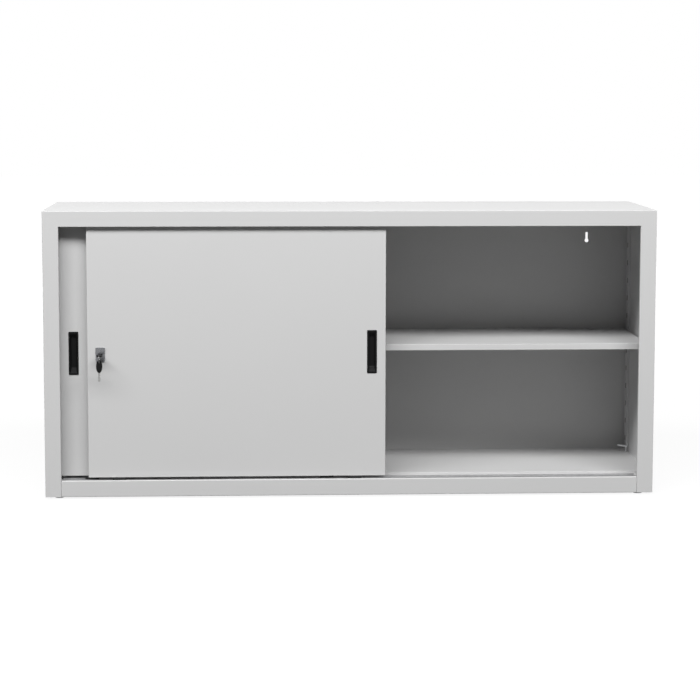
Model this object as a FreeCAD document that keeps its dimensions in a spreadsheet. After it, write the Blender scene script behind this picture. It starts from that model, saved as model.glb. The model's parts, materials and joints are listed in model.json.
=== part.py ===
"""Low cabinet in folded sheet steel with two sliding doors, two bays and one shelf in each bay.

Millimetres, +Z up, +X to the right as seen from the front, the front faces -Y.
The origin is on the floor under the middle of the overall box, with the key in the lock.
"""
import FreeCAD
import Part
import Sketcher
import math
import os

SIZES = {
    # carcass
    "width": 1800.0,
    "depth": 450.0,
    "height": 850.0,
    "gauge": 1.0,                   # sheet thickness
    "bend": 2.0,                    # outer radius of a fold
    "stile_width": 47.0,
    "stile_return": 11.0,           # how far stile and lips fold back from the front
    "top_rail_height": 46.0,
    "sill_height": 48.0,
    "floor_drop": 5.5,              # trough of the floor panel below the top of the sill
    "floor_step": 8.5,              # floor of the bays above the trough in front of them
    "back_flange": 18.0,
    "tuck": 14.0,                   # short hidden folds of sill, floor and top
    "keyhole_side": 132.0,          # keyhole from the outside of the cabinet
    "keyhole_drop": 98.0,           # top of the keyhole below the top of the cabinet
    "keyhole_length": 32.0,
    "keyhole_width": 7.0,
    "keyhole_round": 12.0,
    # feet
    "foot_height": 7.0,
    "foot_diameter": 30.0,
    "foot_inset": 38.0,
    "foot_plate": 62.0,
    "foot_plate_gauge": 2.0,
    "foot_stem": 8.0,
    "foot_stem_length": 9.0,
    # shelves and what carries them
    "shelf_thickness": 18.0,
    "shelf_row": 6.0,               # rows of slots below the one that carries the shelf
    "shelf_set_back": 12.0,         # shelf and partition behind the rear door
    "shelf_side_gap": 2.5,
    "shelf_back_gap": 1.5,
    "partition_width": 25.0,
    "upright_width": 40.0,
    "upright_depth": 6.0,
    "upright_front_inset": 45.0,
    "upright_back_inset": 40.0,
    "slot_pitch": 56.0,
    "slot_first": 40.0,             # centre of the lowest slot above the floor of the bays
    "slot_top_clear": 120.0,        # uprights without slots below the top panel
    "slot_width": 8.0,
    "slot_height": 16.0,
    "clip_gauge": 1.5,
    "clip_reach": 30.0,
    "clip_leg": 20.0,
    "clip_play": 0.3,
    # doors
    "door_recess": 13.0,            # front door behind the face of the frame
    "door_thickness": 18.0,
    "door_spacing": 11.0,           # free space between the two doors
    "door_side_cover": 4.0,         # a closed door behind its stile
    "door_overlap": 38.0,           # closed doors over each other
    "door_low_gap": 7.0,            # door above the sill
    "door_top_cover": 8.0,          # door behind the top rail
    "door_edge": 1.5,               # rounding of a door's edges
    "pull_strip": 83.0,             # strip of the rear door that the front door leaves free
    "stiffener_width": 60.0,
    "stiffener_foot": 15.0,
    # pulls
    "pull_width": 29.0,
    "pull_length": 128.0,
    "pull_depth": 12.0,
    "pull_rim": 1.5,
    "pull_rim_width": 3.0,
    "pull_wall": 1.5,
    "pull_inset": 40.5,
    "pull_height": 433.0,
    "rear_pull_drop": 5.0,          # rear door's pull below the front door's
    "pull_play": 0.3,
    # tracks, hangers and guides
    "track_gauge": 1.2,
    "track_lip": 3.0,
    "track_play": 0.5,              # roller from the lip in front of it
    "track_back_play": 2.0,         # roller from the web behind it
    "roller_diameter": 20.0,
    "roller_width": 7.0,
    "roller_top_gap": 3.0,
    "roller_bore": 5.0,
    "roller_play": 0.05,
    "roller_lift": 0.3,
    "hanger_gauge": 2.0,
    "hanger_width": 36.0,
    "hanger_inset": 90.0,           # roller's axle from the side of its door
    "hanger_gap": 1.0,
    "axle_head": 9.0,
    "axle_keeper": 7.5,             # flange that keeps the roller on its axle
    "axle_keeper_thickness": 1.0,
    "screw_head": 7.0,
    "screw_head_height": 1.6,
    "screw_shank": 3.6,
    "screw_length": 6.0,
    "rivet_count": 5,
    "stop_length": 20.0,
    "stop_height": 15.0,
    "stop_gap": 0.5,
    "rib_height": 5.0,
    "rib_width": 2.0,
    "guide_length": 40.0,
    "guide_width": 12.0,
    "guide_gap": 0.8,
    "rib_play": 0.5,
    "rib_top_play": 1.0,
    "guide_boss": 6.0,              # boss of a guide shoe in the bottom fold of its door
    "guide_boss_length": 4.0,
    # lock
    "lock_inset": 38.0,
    "lock_height": 428.0,
    "lock_plate_width": 27.0,
    "lock_plate_height": 42.0,
    "lock_plate_thickness": 3.0,
    "lock_barrel": 18.0,
    "lock_nose": 2.0,
    "plug_diameter": 11.0,
    "plug_nose": 0.5,
    "lock_play": 0.05,
    "lock_nut_width": 22.0,
    "lock_nut_thickness": 2.5,
    "cam_gauge": 2.0,
    "cam_width": 9.0,
    "cam_hub": 12.0,
    "cam_reach": 28.0,
    "cam_hook": 4.0,
    "cam_hook_drop": 12.0,
    "cam_gap": 1.0,
    "cam_screw_head": 8.0,
    "cam_screw_shank": 4.0,
    "cam_screw_length": 5.0,
    "strike_gauge": 1.5,
    "strike_play": 0.5,
    "strike_width": 17.0,
    "strike_height": 24.0,
    "strike_drop": 8.0,
    "strike_gap": 3.2,              # strike's tab from the back of the front door
    "strike_tab_height": 12.0,
    # keys
    "key_head_length": 38.0,
    "key_head_width": 18.0,
    "key_head_thickness": 3.5,
    "key_hole": 8.0,
    "key_blade_length": 25.5,
    "key_shoulder": 2.0,            # blade that stays outside the lock
    "key_blade_width": 7.0,
    "key_blade_thickness": 2.0,
    "key_bridge": 3.3,              # head between its hole and its end
    "ring_radius": 9.0,
    "ring_wire": 1.4,
    "ring_slack": 0.8,
}

doc = FreeCAD.newDocument("SlidingDoorCabinet")
sheet = doc.addObject("Spreadsheet::Sheet", "Sizes")
pieces = []


class Size:
    """A length held as a number and as the spreadsheet expression that gives it."""

    def __init__(self, number, text):
        self.number = number
        self.text = text

    def joined(self, sign, other, number):
        return Size(number, "(" + self.text + " " + sign + " " + text_of(other) + ")")

    def __add__(self, other):
        return self.joined("+", other, self.number + number_of(other))

    def __sub__(self, other):
        return self.joined("-", other, self.number - number_of(other))

    def __mul__(self, other):
        return self.joined("*", other, self.number * number_of(other))

    def __truediv__(self, other):
        return self.joined("/", other, self.number / number_of(other))

    def __neg__(self):
        return Size(-self.number, "(0 - " + self.text + ")")


def diagonal(across, up):
    """Size of the diagonal of a rectangle."""
    text = "sqrt(" + across.text + " * " + across.text + " + " + up.text + " * " + up.text + ")"
    return Size(math.hypot(across.number, up.number), text)


def hexagon_radius(width):
    """Radius through the corners of a hexagon from its width across flats."""
    return Size(width.number / 2 / math.cos(math.pi / 6), "(" + width.text + " / 2 / cos(30))")


def number_of(value):
    return value.number if isinstance(value, Size) else float(value)


def text_of(value):
    return value.text if isinstance(value, Size) else repr(float(value))


class Sheet:
    """The spreadsheet's sizes by name, such as s.width."""


s = Sheet()
for row, (alias, number) in enumerate(SIZES.items(), start=1):
    sheet.set("A" + str(row), alias.replace("_", " "))
    sheet.set("B" + str(row), str(number))
    sheet.setAlias("B" + str(row), alias)
    setattr(s, alias, Size(number, "Sizes." + alias))
doc.recompute()


# ---------------------------------------------------------------- helpers

def bind(thing, prop, value):
    thing.setExpression(prop, text_of(value))


def vector(x, y, z):
    return FreeCAD.Vector(number_of(x), number_of(y), number_of(z))


def keep(thing, label):
    """Make a finished object one of the named pieces."""
    thing.Label = label
    pieces.append(thing)
    return thing


def place(thing, x, y, z):
    bind(thing, "Placement.Base.x", x)
    bind(thing, "Placement.Base.y", y)
    bind(thing, "Placement.Base.z", z)


def block(name, low, extent):
    """A box from its lowest corner and its three sides."""
    box = doc.addObject("Part::Box", name)
    for prop, value in zip(("Length", "Width", "Height"), extent):
        bind(box, prop, value)
    place(box, *low)
    return box


def block_between(name, low, high):
    return block(name, low, [b - a for a, b in zip(low, high)])


ALONG = {
    "X": FreeCAD.Rotation(FreeCAD.Vector(0, 1, 0), 90),
    "Y": FreeCAD.Rotation(FreeCAD.Vector(1, 0, 0), -90),
    "Z": FreeCAD.Rotation(),
}


def rod(name, axis, start, diameter, length):
    """A cylinder from the centre of its first end along +X, +Y or +Z."""
    cylinder = doc.addObject("Part::Cylinder", name)
    cylinder.Placement = FreeCAD.Placement(FreeCAD.Vector(), ALONG[axis])
    bind(cylinder, "Radius", diameter / 2)
    bind(cylinder, "Height", length)
    place(cylinder, *start)
    return cylinder


def fused(name, shapes):
    fusion = doc.addObject("Part::MultiFuse", name)
    fusion.Shapes = shapes
    fusion.Refine = True
    return fusion


def cut(name, base, tools):
    result = doc.addObject("Part::Cut", name)
    result.Base = base
    result.Tool = tools[0] if len(tools) == 1 else fused(name + "Tools", tools)
    return result


def group(name, shapes):
    together = doc.addObject("Part::Compound", name)
    together.Links = shapes
    return together


def body(label):
    return keep(doc.addObject("PartDesign::Body", label), label)


def plane_of(owner, role):
    return next(item for item in owner.Origin.OriginFeatures if item.Role == role)


def sketch_on(owner, role, offset=None):
    """An empty sketch on one of the body's own planes, moved along the plane's normal."""
    sketch = owner.newObject("Sketcher::SketchObject", "Sketch")
    sketch.AttachmentSupport = [(plane_of(owner, role), "")]
    sketch.MapMode = "FlatFace"
    if offset is not None:
        bind(sketch, "AttachmentOffset.Base.z", offset)
    return sketch


def fix_point(sketch, line, end, x, y):
    """Hold the end of a line at its distances from the sketch's origin."""
    for kind, value in (("DistanceX", x), ("DistanceY", y)):
        constraint = Sketcher.Constraint(kind, -1, 1, line, end, number_of(value))
        index = sketch.addConstraint(constraint)
        bind(sketch, "Constraints[" + str(index) + "]", value)


def draw_outline(sketch, corners):
    """A closed outline of straight lines through the corners."""
    first = sketch.GeometryCount
    count = len(corners)
    for index in range(count):
        start = corners[index]
        end = corners[(index + 1) % count]
        line = Part.LineSegment(vector(start[0], start[1], 0), vector(end[0], end[1], 0))
        sketch.addGeometry(line, False)
    for index in range(count):
        following = first + (index + 1) % count
        sketch.addConstraint(Sketcher.Constraint("Coincident", first + index, 2, following, 1))
    for index, corner in enumerate(corners):
        fix_point(sketch, first + index, 1, corner[0], corner[1])


def draw_circle(sketch, x, y, diameter):
    circle = Part.Circle(vector(x, y, 0), FreeCAD.Vector(0, 0, 1), number_of(diameter) / 2)
    index = sketch.addGeometry(circle, False)
    fix_point(sketch, index, 3, x, y)
    size = sketch.addConstraint(Sketcher.Constraint("Diameter", index, number_of(diameter)))
    bind(sketch, "Constraints[" + str(size) + "]", diameter)


def rectangle(low, high):
    return [(low[0], low[1]), (high[0], low[1]), (high[0], high[1]), (low[0], high[1])]


def extrude(owner, kind, sketch, length, backwards=False, symmetric=False):
    """A Pad or Pocket of a sketch; the solid has to grow or shrink."""
    before = owner.Shape.Volume if owner.Tip is not None else 0.0
    feature = owner.newObject("PartDesign::" + kind, kind)
    feature.Profile = sketch
    bind(feature, "Length", length)
    feature.Reversed = backwards
    if symmetric:
        feature.SideType = "Symmetric"
    doc.recompute()
    change = owner.Shape.Volume - before
    if (change > 0) != (kind == "Pad"):
        raise ValueError(kind + " of " + owner.Label + " has no effect")
    return feature


def pad(owner, sketch, length, **how):
    return extrude(owner, "Pad", sketch, length, **how)


def pocket(owner, sketch, length, **how):
    return extrude(owner, "Pocket", sketch, length, **how)


NO_LENGTH = 1e-6        # a curve that closes on itself, or two directions that are parallel
THROUGH_PLACE = 1e-4    # an edge this close to a place runs through it


def round_edges(owner, direction, spots, radius):
    """Round the straight edges that run along direction through the given places."""
    feature = owner.Tip
    names = []
    for index, edge in enumerate(feature.Shape.Edges, start=1):
        first = edge.Vertexes[0].Point
        run = edge.Vertexes[-1].Point - first
        if run.Length < NO_LENGTH or run.cross(direction).Length > NO_LENGTH * run.Length:
            continue
        for spot in spots:
            if (spot - first).cross(direction).Length < THROUGH_PLACE:
                names.append("Edge" + str(index))
    if not names:
        raise ValueError("no edge to round on " + owner.Label)
    fillet = owner.newObject("PartDesign::Fillet", "Bends")
    fillet.Base = (feature, names)
    bind(fillet, "Radius", radius)
    doc.recompute()
    return fillet


ALONG_X = FreeCAD.Vector(1, 0, 0)
ALONG_Z = FreeCAD.Vector(0, 0, 1)

# ---------------------------------------------------------------- places

half_width = s.width / 2
lock_stand_out = s.lock_plate_thickness + s.lock_nose + s.plug_nose
key_front = lock_stand_out + s.key_shoulder + s.key_head_length
ring_stand_out = s.ring_radius + s.ring_wire / 2 + s.key_bridge / 2
stand_out = key_front - s.key_bridge + ring_stand_out - s.door_recess
front = stand_out / 2 - s.depth / 2
back = front + s.depth

base = s.foot_height
under_top = s.height - s.gauge
sill_top = base + s.sill_height
floor_top = sill_top - s.floor_drop
bay_floor = floor_top + s.floor_step
rail_low = s.height - s.top_rail_height

inner_side = half_width - s.gauge
opening_side = half_width - s.stile_width
lip_back = front + s.stile_return
back_inside = back - s.gauge * 2

door_low = sill_top + s.door_low_gap
door_top = rail_low + s.door_top_cover
closed_edge = opening_side + s.door_side_cover
door_width = closed_edge + s.door_overlap / 2
front_door_front = front + s.door_recess
rear_door_front = front_door_front + s.door_thickness + s.door_spacing
bay_front = rear_door_front + s.door_thickness + s.shelf_set_back

rear_door_left = -closed_edge
front_door_left = rear_door_left + s.pull_strip
travel = closed_edge * 2 - door_width - s.pull_strip
front_pull_x = front_door_left + door_width - s.pull_inset
rear_pull_x = rear_door_left + s.pull_inset

lowest_slot = bay_floor + s.slot_first
slot_low = lowest_slot + s.slot_pitch * s.shelf_row - s.slot_height / 2
shelf_low = slot_low + s.clip_play + s.clip_gauge
shelf_top = shelf_low + s.shelf_thickness
upright_face = inner_side - s.upright_depth
front_slots = bay_front + s.upright_front_inset
back_slots = back_inside - s.upright_back_inset
slotted_height = under_top - s.slot_top_clear - lowest_slot
slot_rows = int(slotted_height.number // s.slot_pitch.number) + 1


# ---------------------------------------------------------------- carcass

def make_side_panel(label, side):
    """Skin with a back flange, and the hollow front stile below the top rail."""
    panel = body(label)
    outside = half_width * side
    skin = sketch_on(panel, "XY_Plane", base)
    draw_outline(skin, [
        (outside, front + s.gauge),
        (outside, back),
        (outside - s.back_flange * side, back),
        (outside - s.back_flange * side, back - s.gauge),
        (inner_side * side, back - s.gauge),
        (inner_side * side, front + s.gauge),
    ])
    pad(panel, skin, under_top - base)
    stile = sketch_on(panel, "XY_Plane", base)
    draw_outline(stile, [
        (opening_side * side, lip_back),
        (opening_side * side, front),
        (outside, front),
        (outside, lip_back),
        (inner_side * side, lip_back),
        (inner_side * side, front + s.gauge),
        ((opening_side + s.gauge) * side, front + s.gauge),
        ((opening_side + s.gauge) * side, lip_back),
    ])
    pad(panel, stile, rail_low - base)
    spots = [
        vector(outside, front, 0),
        vector(opening_side * side, front, 0),
        vector(outside, back, 0),
    ]
    round_edges(panel, ALONG_Z, spots, s.bend)


def make_top_panel():
    """Top sheet, its top rail ground flush over the stiles, the rail's lip and a back flange."""
    panel = body("top_panel")
    profile = sketch_on(panel, "YZ_Plane")
    draw_outline(profile, [
        (lip_back, rail_low),
        (front, rail_low),
        (front, s.height),
        (back, s.height),
        (back, under_top),
        (front + s.gauge, under_top),
        (front + s.gauge, rail_low + s.gauge),
        (lip_back, rail_low + s.gauge),
    ])
    pad(panel, profile, s.width, symmetric=True)
    flange = sketch_on(panel, "YZ_Plane")
    draw_outline(flange, rectangle((back - s.gauge, under_top - s.tuck), (back, s.height)))
    flange_width = s.width - s.back_flange * 2 - s.gauge
    pad(panel, flange, flange_width, symmetric=True)
    for side in (-1, 1):
        corner = sketch_on(panel, "XY_Plane", rail_low)
        edges = (opening_side * side, half_width * side)
        draw_outline(corner, rectangle((edges[0], front + s.gauge), (edges[1], lip_back)))
        pocket(panel, corner, s.gauge, backwards=True)
    round_edges(panel, ALONG_X, [vector(0, front, s.height), vector(0, back, s.height)], s.bend)
    round_edges(panel, ALONG_X, [vector(0, front, rail_low)], s.bend / 2)
    for side in (-1, 1):
        weld = sketch_on(panel, "XY_Plane", rail_low)
        edges = (opening_side * side, half_width * side)
        draw_outline(weld, rectangle((edges[0], front), (edges[1], front + s.gauge)))
        pad(panel, weld, s.bend / 2)


def make_bottom_rail():
    """Sill between the stiles: face, lip, fold down to the floor panel and lower fold."""
    rail = body("bottom_rail")
    leg = lip_back - s.gauge
    profile = sketch_on(rail, "YZ_Plane")
    draw_outline(profile, [
        (front + s.tuck, base),
        (front, base),
        (front, sill_top),
        (lip_back, sill_top),
        (lip_back, floor_top),
        (leg, floor_top),
        (leg, sill_top - s.gauge),
        (front + s.gauge, sill_top - s.gauge),
        (front + s.gauge, base + s.gauge),
        (front + s.tuck, base + s.gauge),
    ])
    pad(rail, profile, opening_side * 2, symmetric=True)
    folds = [vector(0, front, base), vector(0, front, sill_top), vector(0, lip_back, sill_top)]
    round_edges(rail, ALONG_X, folds, s.bend)


def make_bottom_panel():
    """Floor sheet: trough for the guide rail, step up to the bays, notches around the stiles."""
    panel = body("bottom_panel")
    trough_low = floor_top - s.gauge
    bay_low = bay_floor - s.gauge
    profile = sketch_on(panel, "YZ_Plane")
    draw_outline(profile, [
        (front + s.gauge, trough_low),
        (bay_front + s.gauge, trough_low),
        (bay_front + s.gauge, bay_low),
        (back_inside, bay_low),
        (back_inside, bay_floor),
        (bay_front, bay_floor),
        (bay_front, floor_top),
        (front + s.gauge, floor_top),
    ])
    pad(panel, profile, inner_side * 2, symmetric=True)
    for side in (-1, 1):
        notch = sketch_on(panel, "XY_Plane", trough_low)
        edges = (opening_side * side, inner_side * side)
        draw_outline(notch, rectangle((edges[0], front + s.gauge), (edges[1], lip_back)))
        pocket(panel, notch, s.gauge, backwards=True)
    for low_y, top in ((front + s.gauge, floor_top), (back_inside - s.gauge, bay_floor)):
        fold = sketch_on(panel, "YZ_Plane")
        fold_low = top - s.gauge - s.tuck
        draw_outline(fold, rectangle((low_y, fold_low), (low_y + s.gauge, top)))
        pad(panel, fold, opening_side * 2, symmetric=True)
    round_edges(panel, ALONG_X, [vector(0, bay_front, bay_floor)], s.bend / 2)


def make_back_panel():
    """Flat sheet with a keyhole slot near each upper corner."""
    panel = body("back_panel")
    outline = sketch_on(panel, "XZ_Plane", -(back - s.gauge))
    draw_outline(outline, rectangle((-inner_side, base), (inner_side, under_top)))
    pad(panel, outline, s.gauge)
    slot_top = s.height - s.keyhole_drop
    slot_low = slot_top - s.keyhole_length + s.keyhole_round / 2
    for side in (-1, 1):
        centre = (half_width - s.keyhole_side) * side
        slot = sketch_on(panel, "XZ_Plane", -(back - s.gauge))
        left = centre - s.keyhole_width / 2
        draw_outline(slot, rectangle((left, slot_low), (left + s.keyhole_width, slot_top)))
        pocket(panel, slot, s.gauge, backwards=True)
        hole = sketch_on(panel, "XZ_Plane", -(back - s.gauge))
        draw_circle(hole, centre, slot_low, s.keyhole_round)
        pocket(panel, hole, s.gauge, backwards=True)


def slot_column(owner, plane_offset, middle, depth, symmetric):
    """A column of shelf slots cut across X, from the lowest row upwards."""
    sketch = sketch_on(owner, "YZ_Plane", plane_offset)
    low = (middle - s.slot_width / 2, lowest_slot - s.slot_height / 2)
    draw_outline(sketch, rectangle(low, (low[0] + s.slot_width, low[1] + s.slot_height)))
    hole = pocket(owner, sketch, depth, symmetric=symmetric)
    rows = owner.newObject("PartDesign::LinearPattern", "Rows")
    rows.Originals = [hole]
    rows.Direction = (plane_of(owner, "Z_Axis"), [""])
    bind(rows, "Length", s.slot_pitch * (slot_rows - 1))
    rows.Occurrences = slot_rows
    owner.Tip = rows
    doc.recompute()


def make_upright(label, side, middle):
    """Perforated channel on the inside of a side panel."""
    upright = body(label)
    inner = inner_side * side
    face = upright_face * side
    wall = (upright_face + s.gauge) * side
    low = middle - s.upright_width / 2
    high = middle + s.upright_width / 2
    profile = sketch_on(upright, "XY_Plane", bay_floor)
    draw_outline(profile, [
        (inner, low),
        (face, low),
        (face, high),
        (inner, high),
        (inner, high - s.gauge),
        (wall, high - s.gauge),
        (wall, low + s.gauge),
        (inner, low + s.gauge),
    ])
    pad(upright, profile, under_top - bay_floor)
    round_edges(upright, ALONG_Z, [vector(face, low, 0), vector(face, high, 0)], s.bend / 2)
    slot_column(upright, face, middle, s.gauge * 2, True)


def make_partition():
    """Hollow middle wall, folded around its front edge, with slots in both faces."""
    wall = body("partition")
    half = s.partition_width / 2
    inner = half - s.gauge
    profile = sketch_on(wall, "XY_Plane", bay_floor)
    draw_outline(profile, [
        (-half, back_inside),
        (-half, bay_front),
        (half, bay_front),
        (half, back_inside),
        (inner, back_inside),
        (inner, bay_front + s.gauge),
        (-inner, bay_front + s.gauge),
        (-inner, back_inside),
    ])
    pad(wall, profile, under_top - bay_floor)
    round_edges(wall, ALONG_Z, [vector(-half, bay_front, 0), vector(half, bay_front, 0)], s.bend)
    for middle in (front_slots, back_slots):
        slot_column(wall, None, middle, s.partition_width + s.gauge, True)


def make_shelf(label, side):
    """Tray with folds down all round and a lip along the front fold."""
    shelf = body(label)
    inner_x = (s.partition_width / 2 + s.shelf_side_gap) * side
    outer_x = (upright_face - s.shelf_side_gap) * side
    low_x = inner_x if side > 0 else outer_x
    high_x = outer_x if side > 0 else inner_x
    rear = back_inside - s.shelf_back_gap
    top = sketch_on(shelf, "XY_Plane", shelf_low)
    draw_outline(top, rectangle((low_x, bay_front), (high_x, rear)))
    pad(shelf, top, s.shelf_thickness)
    hollow = sketch_on(shelf, "XY_Plane", shelf_low)
    wall = s.gauge
    draw_outline(hollow, rectangle((low_x + wall, bay_front + wall), (high_x - wall, rear - wall)))
    pocket(shelf, hollow, s.shelf_thickness - s.gauge, backwards=True)
    lip = sketch_on(shelf, "XY_Plane", shelf_low)
    draw_outline(lip, rectangle((low_x, bay_front), (high_x, bay_front + s.tuck)))
    pad(shelf, lip, s.gauge)
    folds = [vector(0, bay_front, shelf_top), vector(0, bay_front, shelf_low)]
    round_edges(shelf, ALONG_X, folds, s.bend / 2)


def shelf_clip(name, face, side, middle, top):
    """Bent clip: ledge into the bay, leg down the wall and a hook behind the slot."""
    width = s.slot_width - s.clip_play * 2
    low_y = middle - width / 2
    lip_back_x = face + (s.gauge + s.clip_play + s.clip_gauge) * side

    def strip(suffix, near, far, low_z, high_z):
        ends = sorted((near, far), key=number_of)
        return block_between(name + suffix, [ends[0], low_y, low_z],
                             [ends[1], low_y + width, high_z])

    ledge = strip("Ledge", lip_back_x, face - s.clip_reach * side, top - s.clip_gauge, top)
    leg = strip("Leg", face, face - s.clip_gauge * side, top - s.clip_leg, top)
    lip_top = top + s.slot_height / 2
    lip = strip("Lip", lip_back_x - s.clip_gauge * side, lip_back_x, top, lip_top)
    return fused(name, [ledge, leg, lip])


def make_shelf_clips():
    """Four clips under each shelf and a spare one in front of the right-hand back upright."""
    half = s.partition_width / 2
    for side, label in ((-1, "shelf_clips_left"), (1, "shelf_clips_right")):
        clips = []
        for number, middle in enumerate((front_slots, back_slots)):
            name = label + str(number)
            outer = upright_face * side
            clips.append(shelf_clip(name + "Outer", outer, side, middle, shelf_low))
            clips.append(shelf_clip(name + "Inner", half * side, -side, middle, shelf_low))
        keep(group(label, clips), label)
    beside = back_slots - s.upright_width / 2 - s.slot_width
    spare = shelf_clip("spare_shelf_clip", upright_face, 1, beside, bay_floor + s.clip_leg)
    keep(spare, "spare_shelf_clip")


LOWER_RIM = 3           # number of a cylinder's edge round its lower end


def make_feet():
    """Corner plates under the floor panel and a screwed-in glide below each one."""
    plates = []
    glides = []
    for x_side in (-1, 1):
        for y_side in (-1, 1):
            name = "Foot" + str(len(glides))
            x = (half_width - s.foot_inset) * x_side
            y = (front + s.foot_inset) if y_side < 0 else (back - s.foot_inset)
            outer_x = inner_side * x_side
            inner_x = (inner_side - s.foot_plate) * x_side
            ends_x = sorted((outer_x, inner_x), key=number_of)
            if y_side < 0:
                ends_y = (front + s.tuck, front + s.tuck + s.foot_plate)
            else:
                ends_y = (back_inside - s.foot_plate, back_inside)
            low = [ends_x[0], ends_y[0], base]
            high = [ends_x[1], ends_y[1], base + s.foot_plate_gauge]
            plate = block_between(name + "Plate", low, high)
            bore = rod(name + "Bore", "Z", (x, y, base), s.foot_stem, s.foot_plate_gauge)
            plates.append(cut(name + "PlateCut", plate, [bore]))
            disc = rod(name + "Disc", "Z", (x, y, base * 0), s.foot_diameter, s.foot_height)
            rim = doc.addObject("Part::Fillet", name + "Rim")
            rim.Base = disc
            rim.Edges = [(LOWER_RIM, s.bend.number / 2, s.bend.number / 2)]
            stem = rod(name + "Stem", "Z", (x, y, base), s.foot_stem, s.foot_stem_length)
            glides.append(fused(name + "Glide", [rim, stem]))
    keep(group("foot_plates", plates), "foot_plates")
    keep(group("feet", glides), "feet")


# ---------------------------------------------------------------- tracks

front_middle = front_door_front + s.door_thickness / 2
rear_middle = rear_door_front + s.door_thickness / 2
axle_height = under_top - s.roller_top_gap - s.roller_diameter / 2
axle_diameter = s.roller_bore - s.roller_play * 2
ledge_top = axle_height - s.roller_diameter / 2 - s.roller_lift


def roller_front(middle):
    """Front side of the roller on the door whose mid plane is given."""
    return middle - s.roller_width / 2


def lip_front(middle):
    return roller_front(middle) - s.track_play - s.track_gauge


def web_front(middle):
    return middle + s.roller_width / 2 + s.track_back_play


def rivet_places():
    """Where the top track is riveted: between its two webs, along its length."""
    gap = web_front(rear_middle) - web_front(front_middle)
    y = web_front(front_middle) + gap / 2
    reach = half_width - s.hanger_inset
    last = s.rivet_count.number - 1
    return [(reach * (2 * index / last - 1), y) for index in range(int(last) + 1)]


def make_top_track():
    """Double hanging rail: a top flange and, for each door, a web with a ledge and a lip."""
    track = body("top_track")
    start = web_front(front_middle)
    end = web_front(rear_middle) + s.track_gauge
    flange = sketch_on(track, "YZ_Plane")
    draw_outline(flange, rectangle((start, under_top - s.track_gauge), (end, under_top)))
    pad(track, flange, inner_side * 2, symmetric=True)
    for middle in (front_middle, rear_middle):
        web = web_front(middle)
        lip = lip_front(middle)
        lip_top = ledge_top + s.track_lip
        profile = sketch_on(track, "YZ_Plane")
        draw_outline(profile, [
            (web, under_top),
            (web, ledge_top),
            (lip + s.track_gauge, ledge_top),
            (lip + s.track_gauge, lip_top),
            (lip, lip_top),
            (lip, ledge_top - s.track_gauge),
            (web + s.track_gauge, ledge_top - s.track_gauge),
            (web + s.track_gauge, under_top),
        ])
        pad(track, profile, inner_side * 2, symmetric=True)
    holes = sketch_on(track, "XY_Plane", under_top)
    for x, y in rivet_places():
        draw_circle(holes, x, y, s.screw_shank)
    pocket(track, holes, s.track_gauge)


def make_track_rivets():
    """Rivets that hold the top track's flange to the top panel."""
    rivets = []
    head_low = under_top - s.track_gauge - s.screw_head_height
    for x, y in rivet_places():
        name = "Rivet" + str(len(rivets))
        head = rod(name + "Head", "Z", (x, y, head_low), s.screw_head, s.screw_head_height)
        shank_length = s.screw_head_height + s.track_gauge
        shank = rod(name + "Shank", "Z", (x, y, head_low), s.screw_shank, shank_length)
        rivets.append(fused(name, [head, shank]))
    keep(group("track_rivets", rivets), "track_rivets")


def make_track_stops():
    """Rubber blocks in the track that end each door's travel."""
    reach = s.roller_diameter / 2 + s.stop_gap
    stops = []
    for name, middle, left, right in (
        ("FrontStop", front_middle, front_door_left, front_door_left + travel),
        ("RearStop", rear_middle, rear_door_left, rear_door_left + travel),
    ):
        first = left + s.hanger_inset - reach - s.stop_length
        second = right + door_width - s.hanger_inset + reach
        for side, start in (("Left", first), ("Right", second)):
            low = [start, roller_front(middle), ledge_top]
            extent = [s.stop_length, web_front(middle) - low[1], s.stop_height]
            stops.append(block(name + side, low, extent))
    keep(group("track_stops", stops), "track_stops")


def make_bottom_track():
    """Guide rail in the floor's trough: base strip with one upright rib under each door."""
    track = body("bottom_track")
    end = rear_middle + s.guide_width
    low = floor_top
    high = floor_top + s.gauge
    rib_top = high + s.rib_height - s.gauge
    half = s.rib_width / 2
    profile = sketch_on(track, "YZ_Plane")
    draw_outline(profile, [
        (lip_back, low),
        (end, low),
        (end, high),
        (rear_middle + half, high),
        (rear_middle + half, rib_top),
        (rear_middle - half, rib_top),
        (rear_middle - half, high),
        (front_middle + half, high),
        (front_middle + half, rib_top),
        (front_middle - half, rib_top),
        (front_middle - half, high),
        (lip_back, high),
    ])
    pad(track, profile, opening_side * 2, symmetric=True)


# ---------------------------------------------------------------- doors

def hanger_places(left):
    """The middles of a door's two hangers, which are also those of its guides."""
    return (left + s.hanger_inset, left + door_width - s.hanger_inset)


def hanger_screw_places(left, middle):
    reach = s.hanger_width / 2 - s.screw_head
    return [(x + reach * side, middle) for x in hanger_places(left) for side in (-1, 1)]


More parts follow.
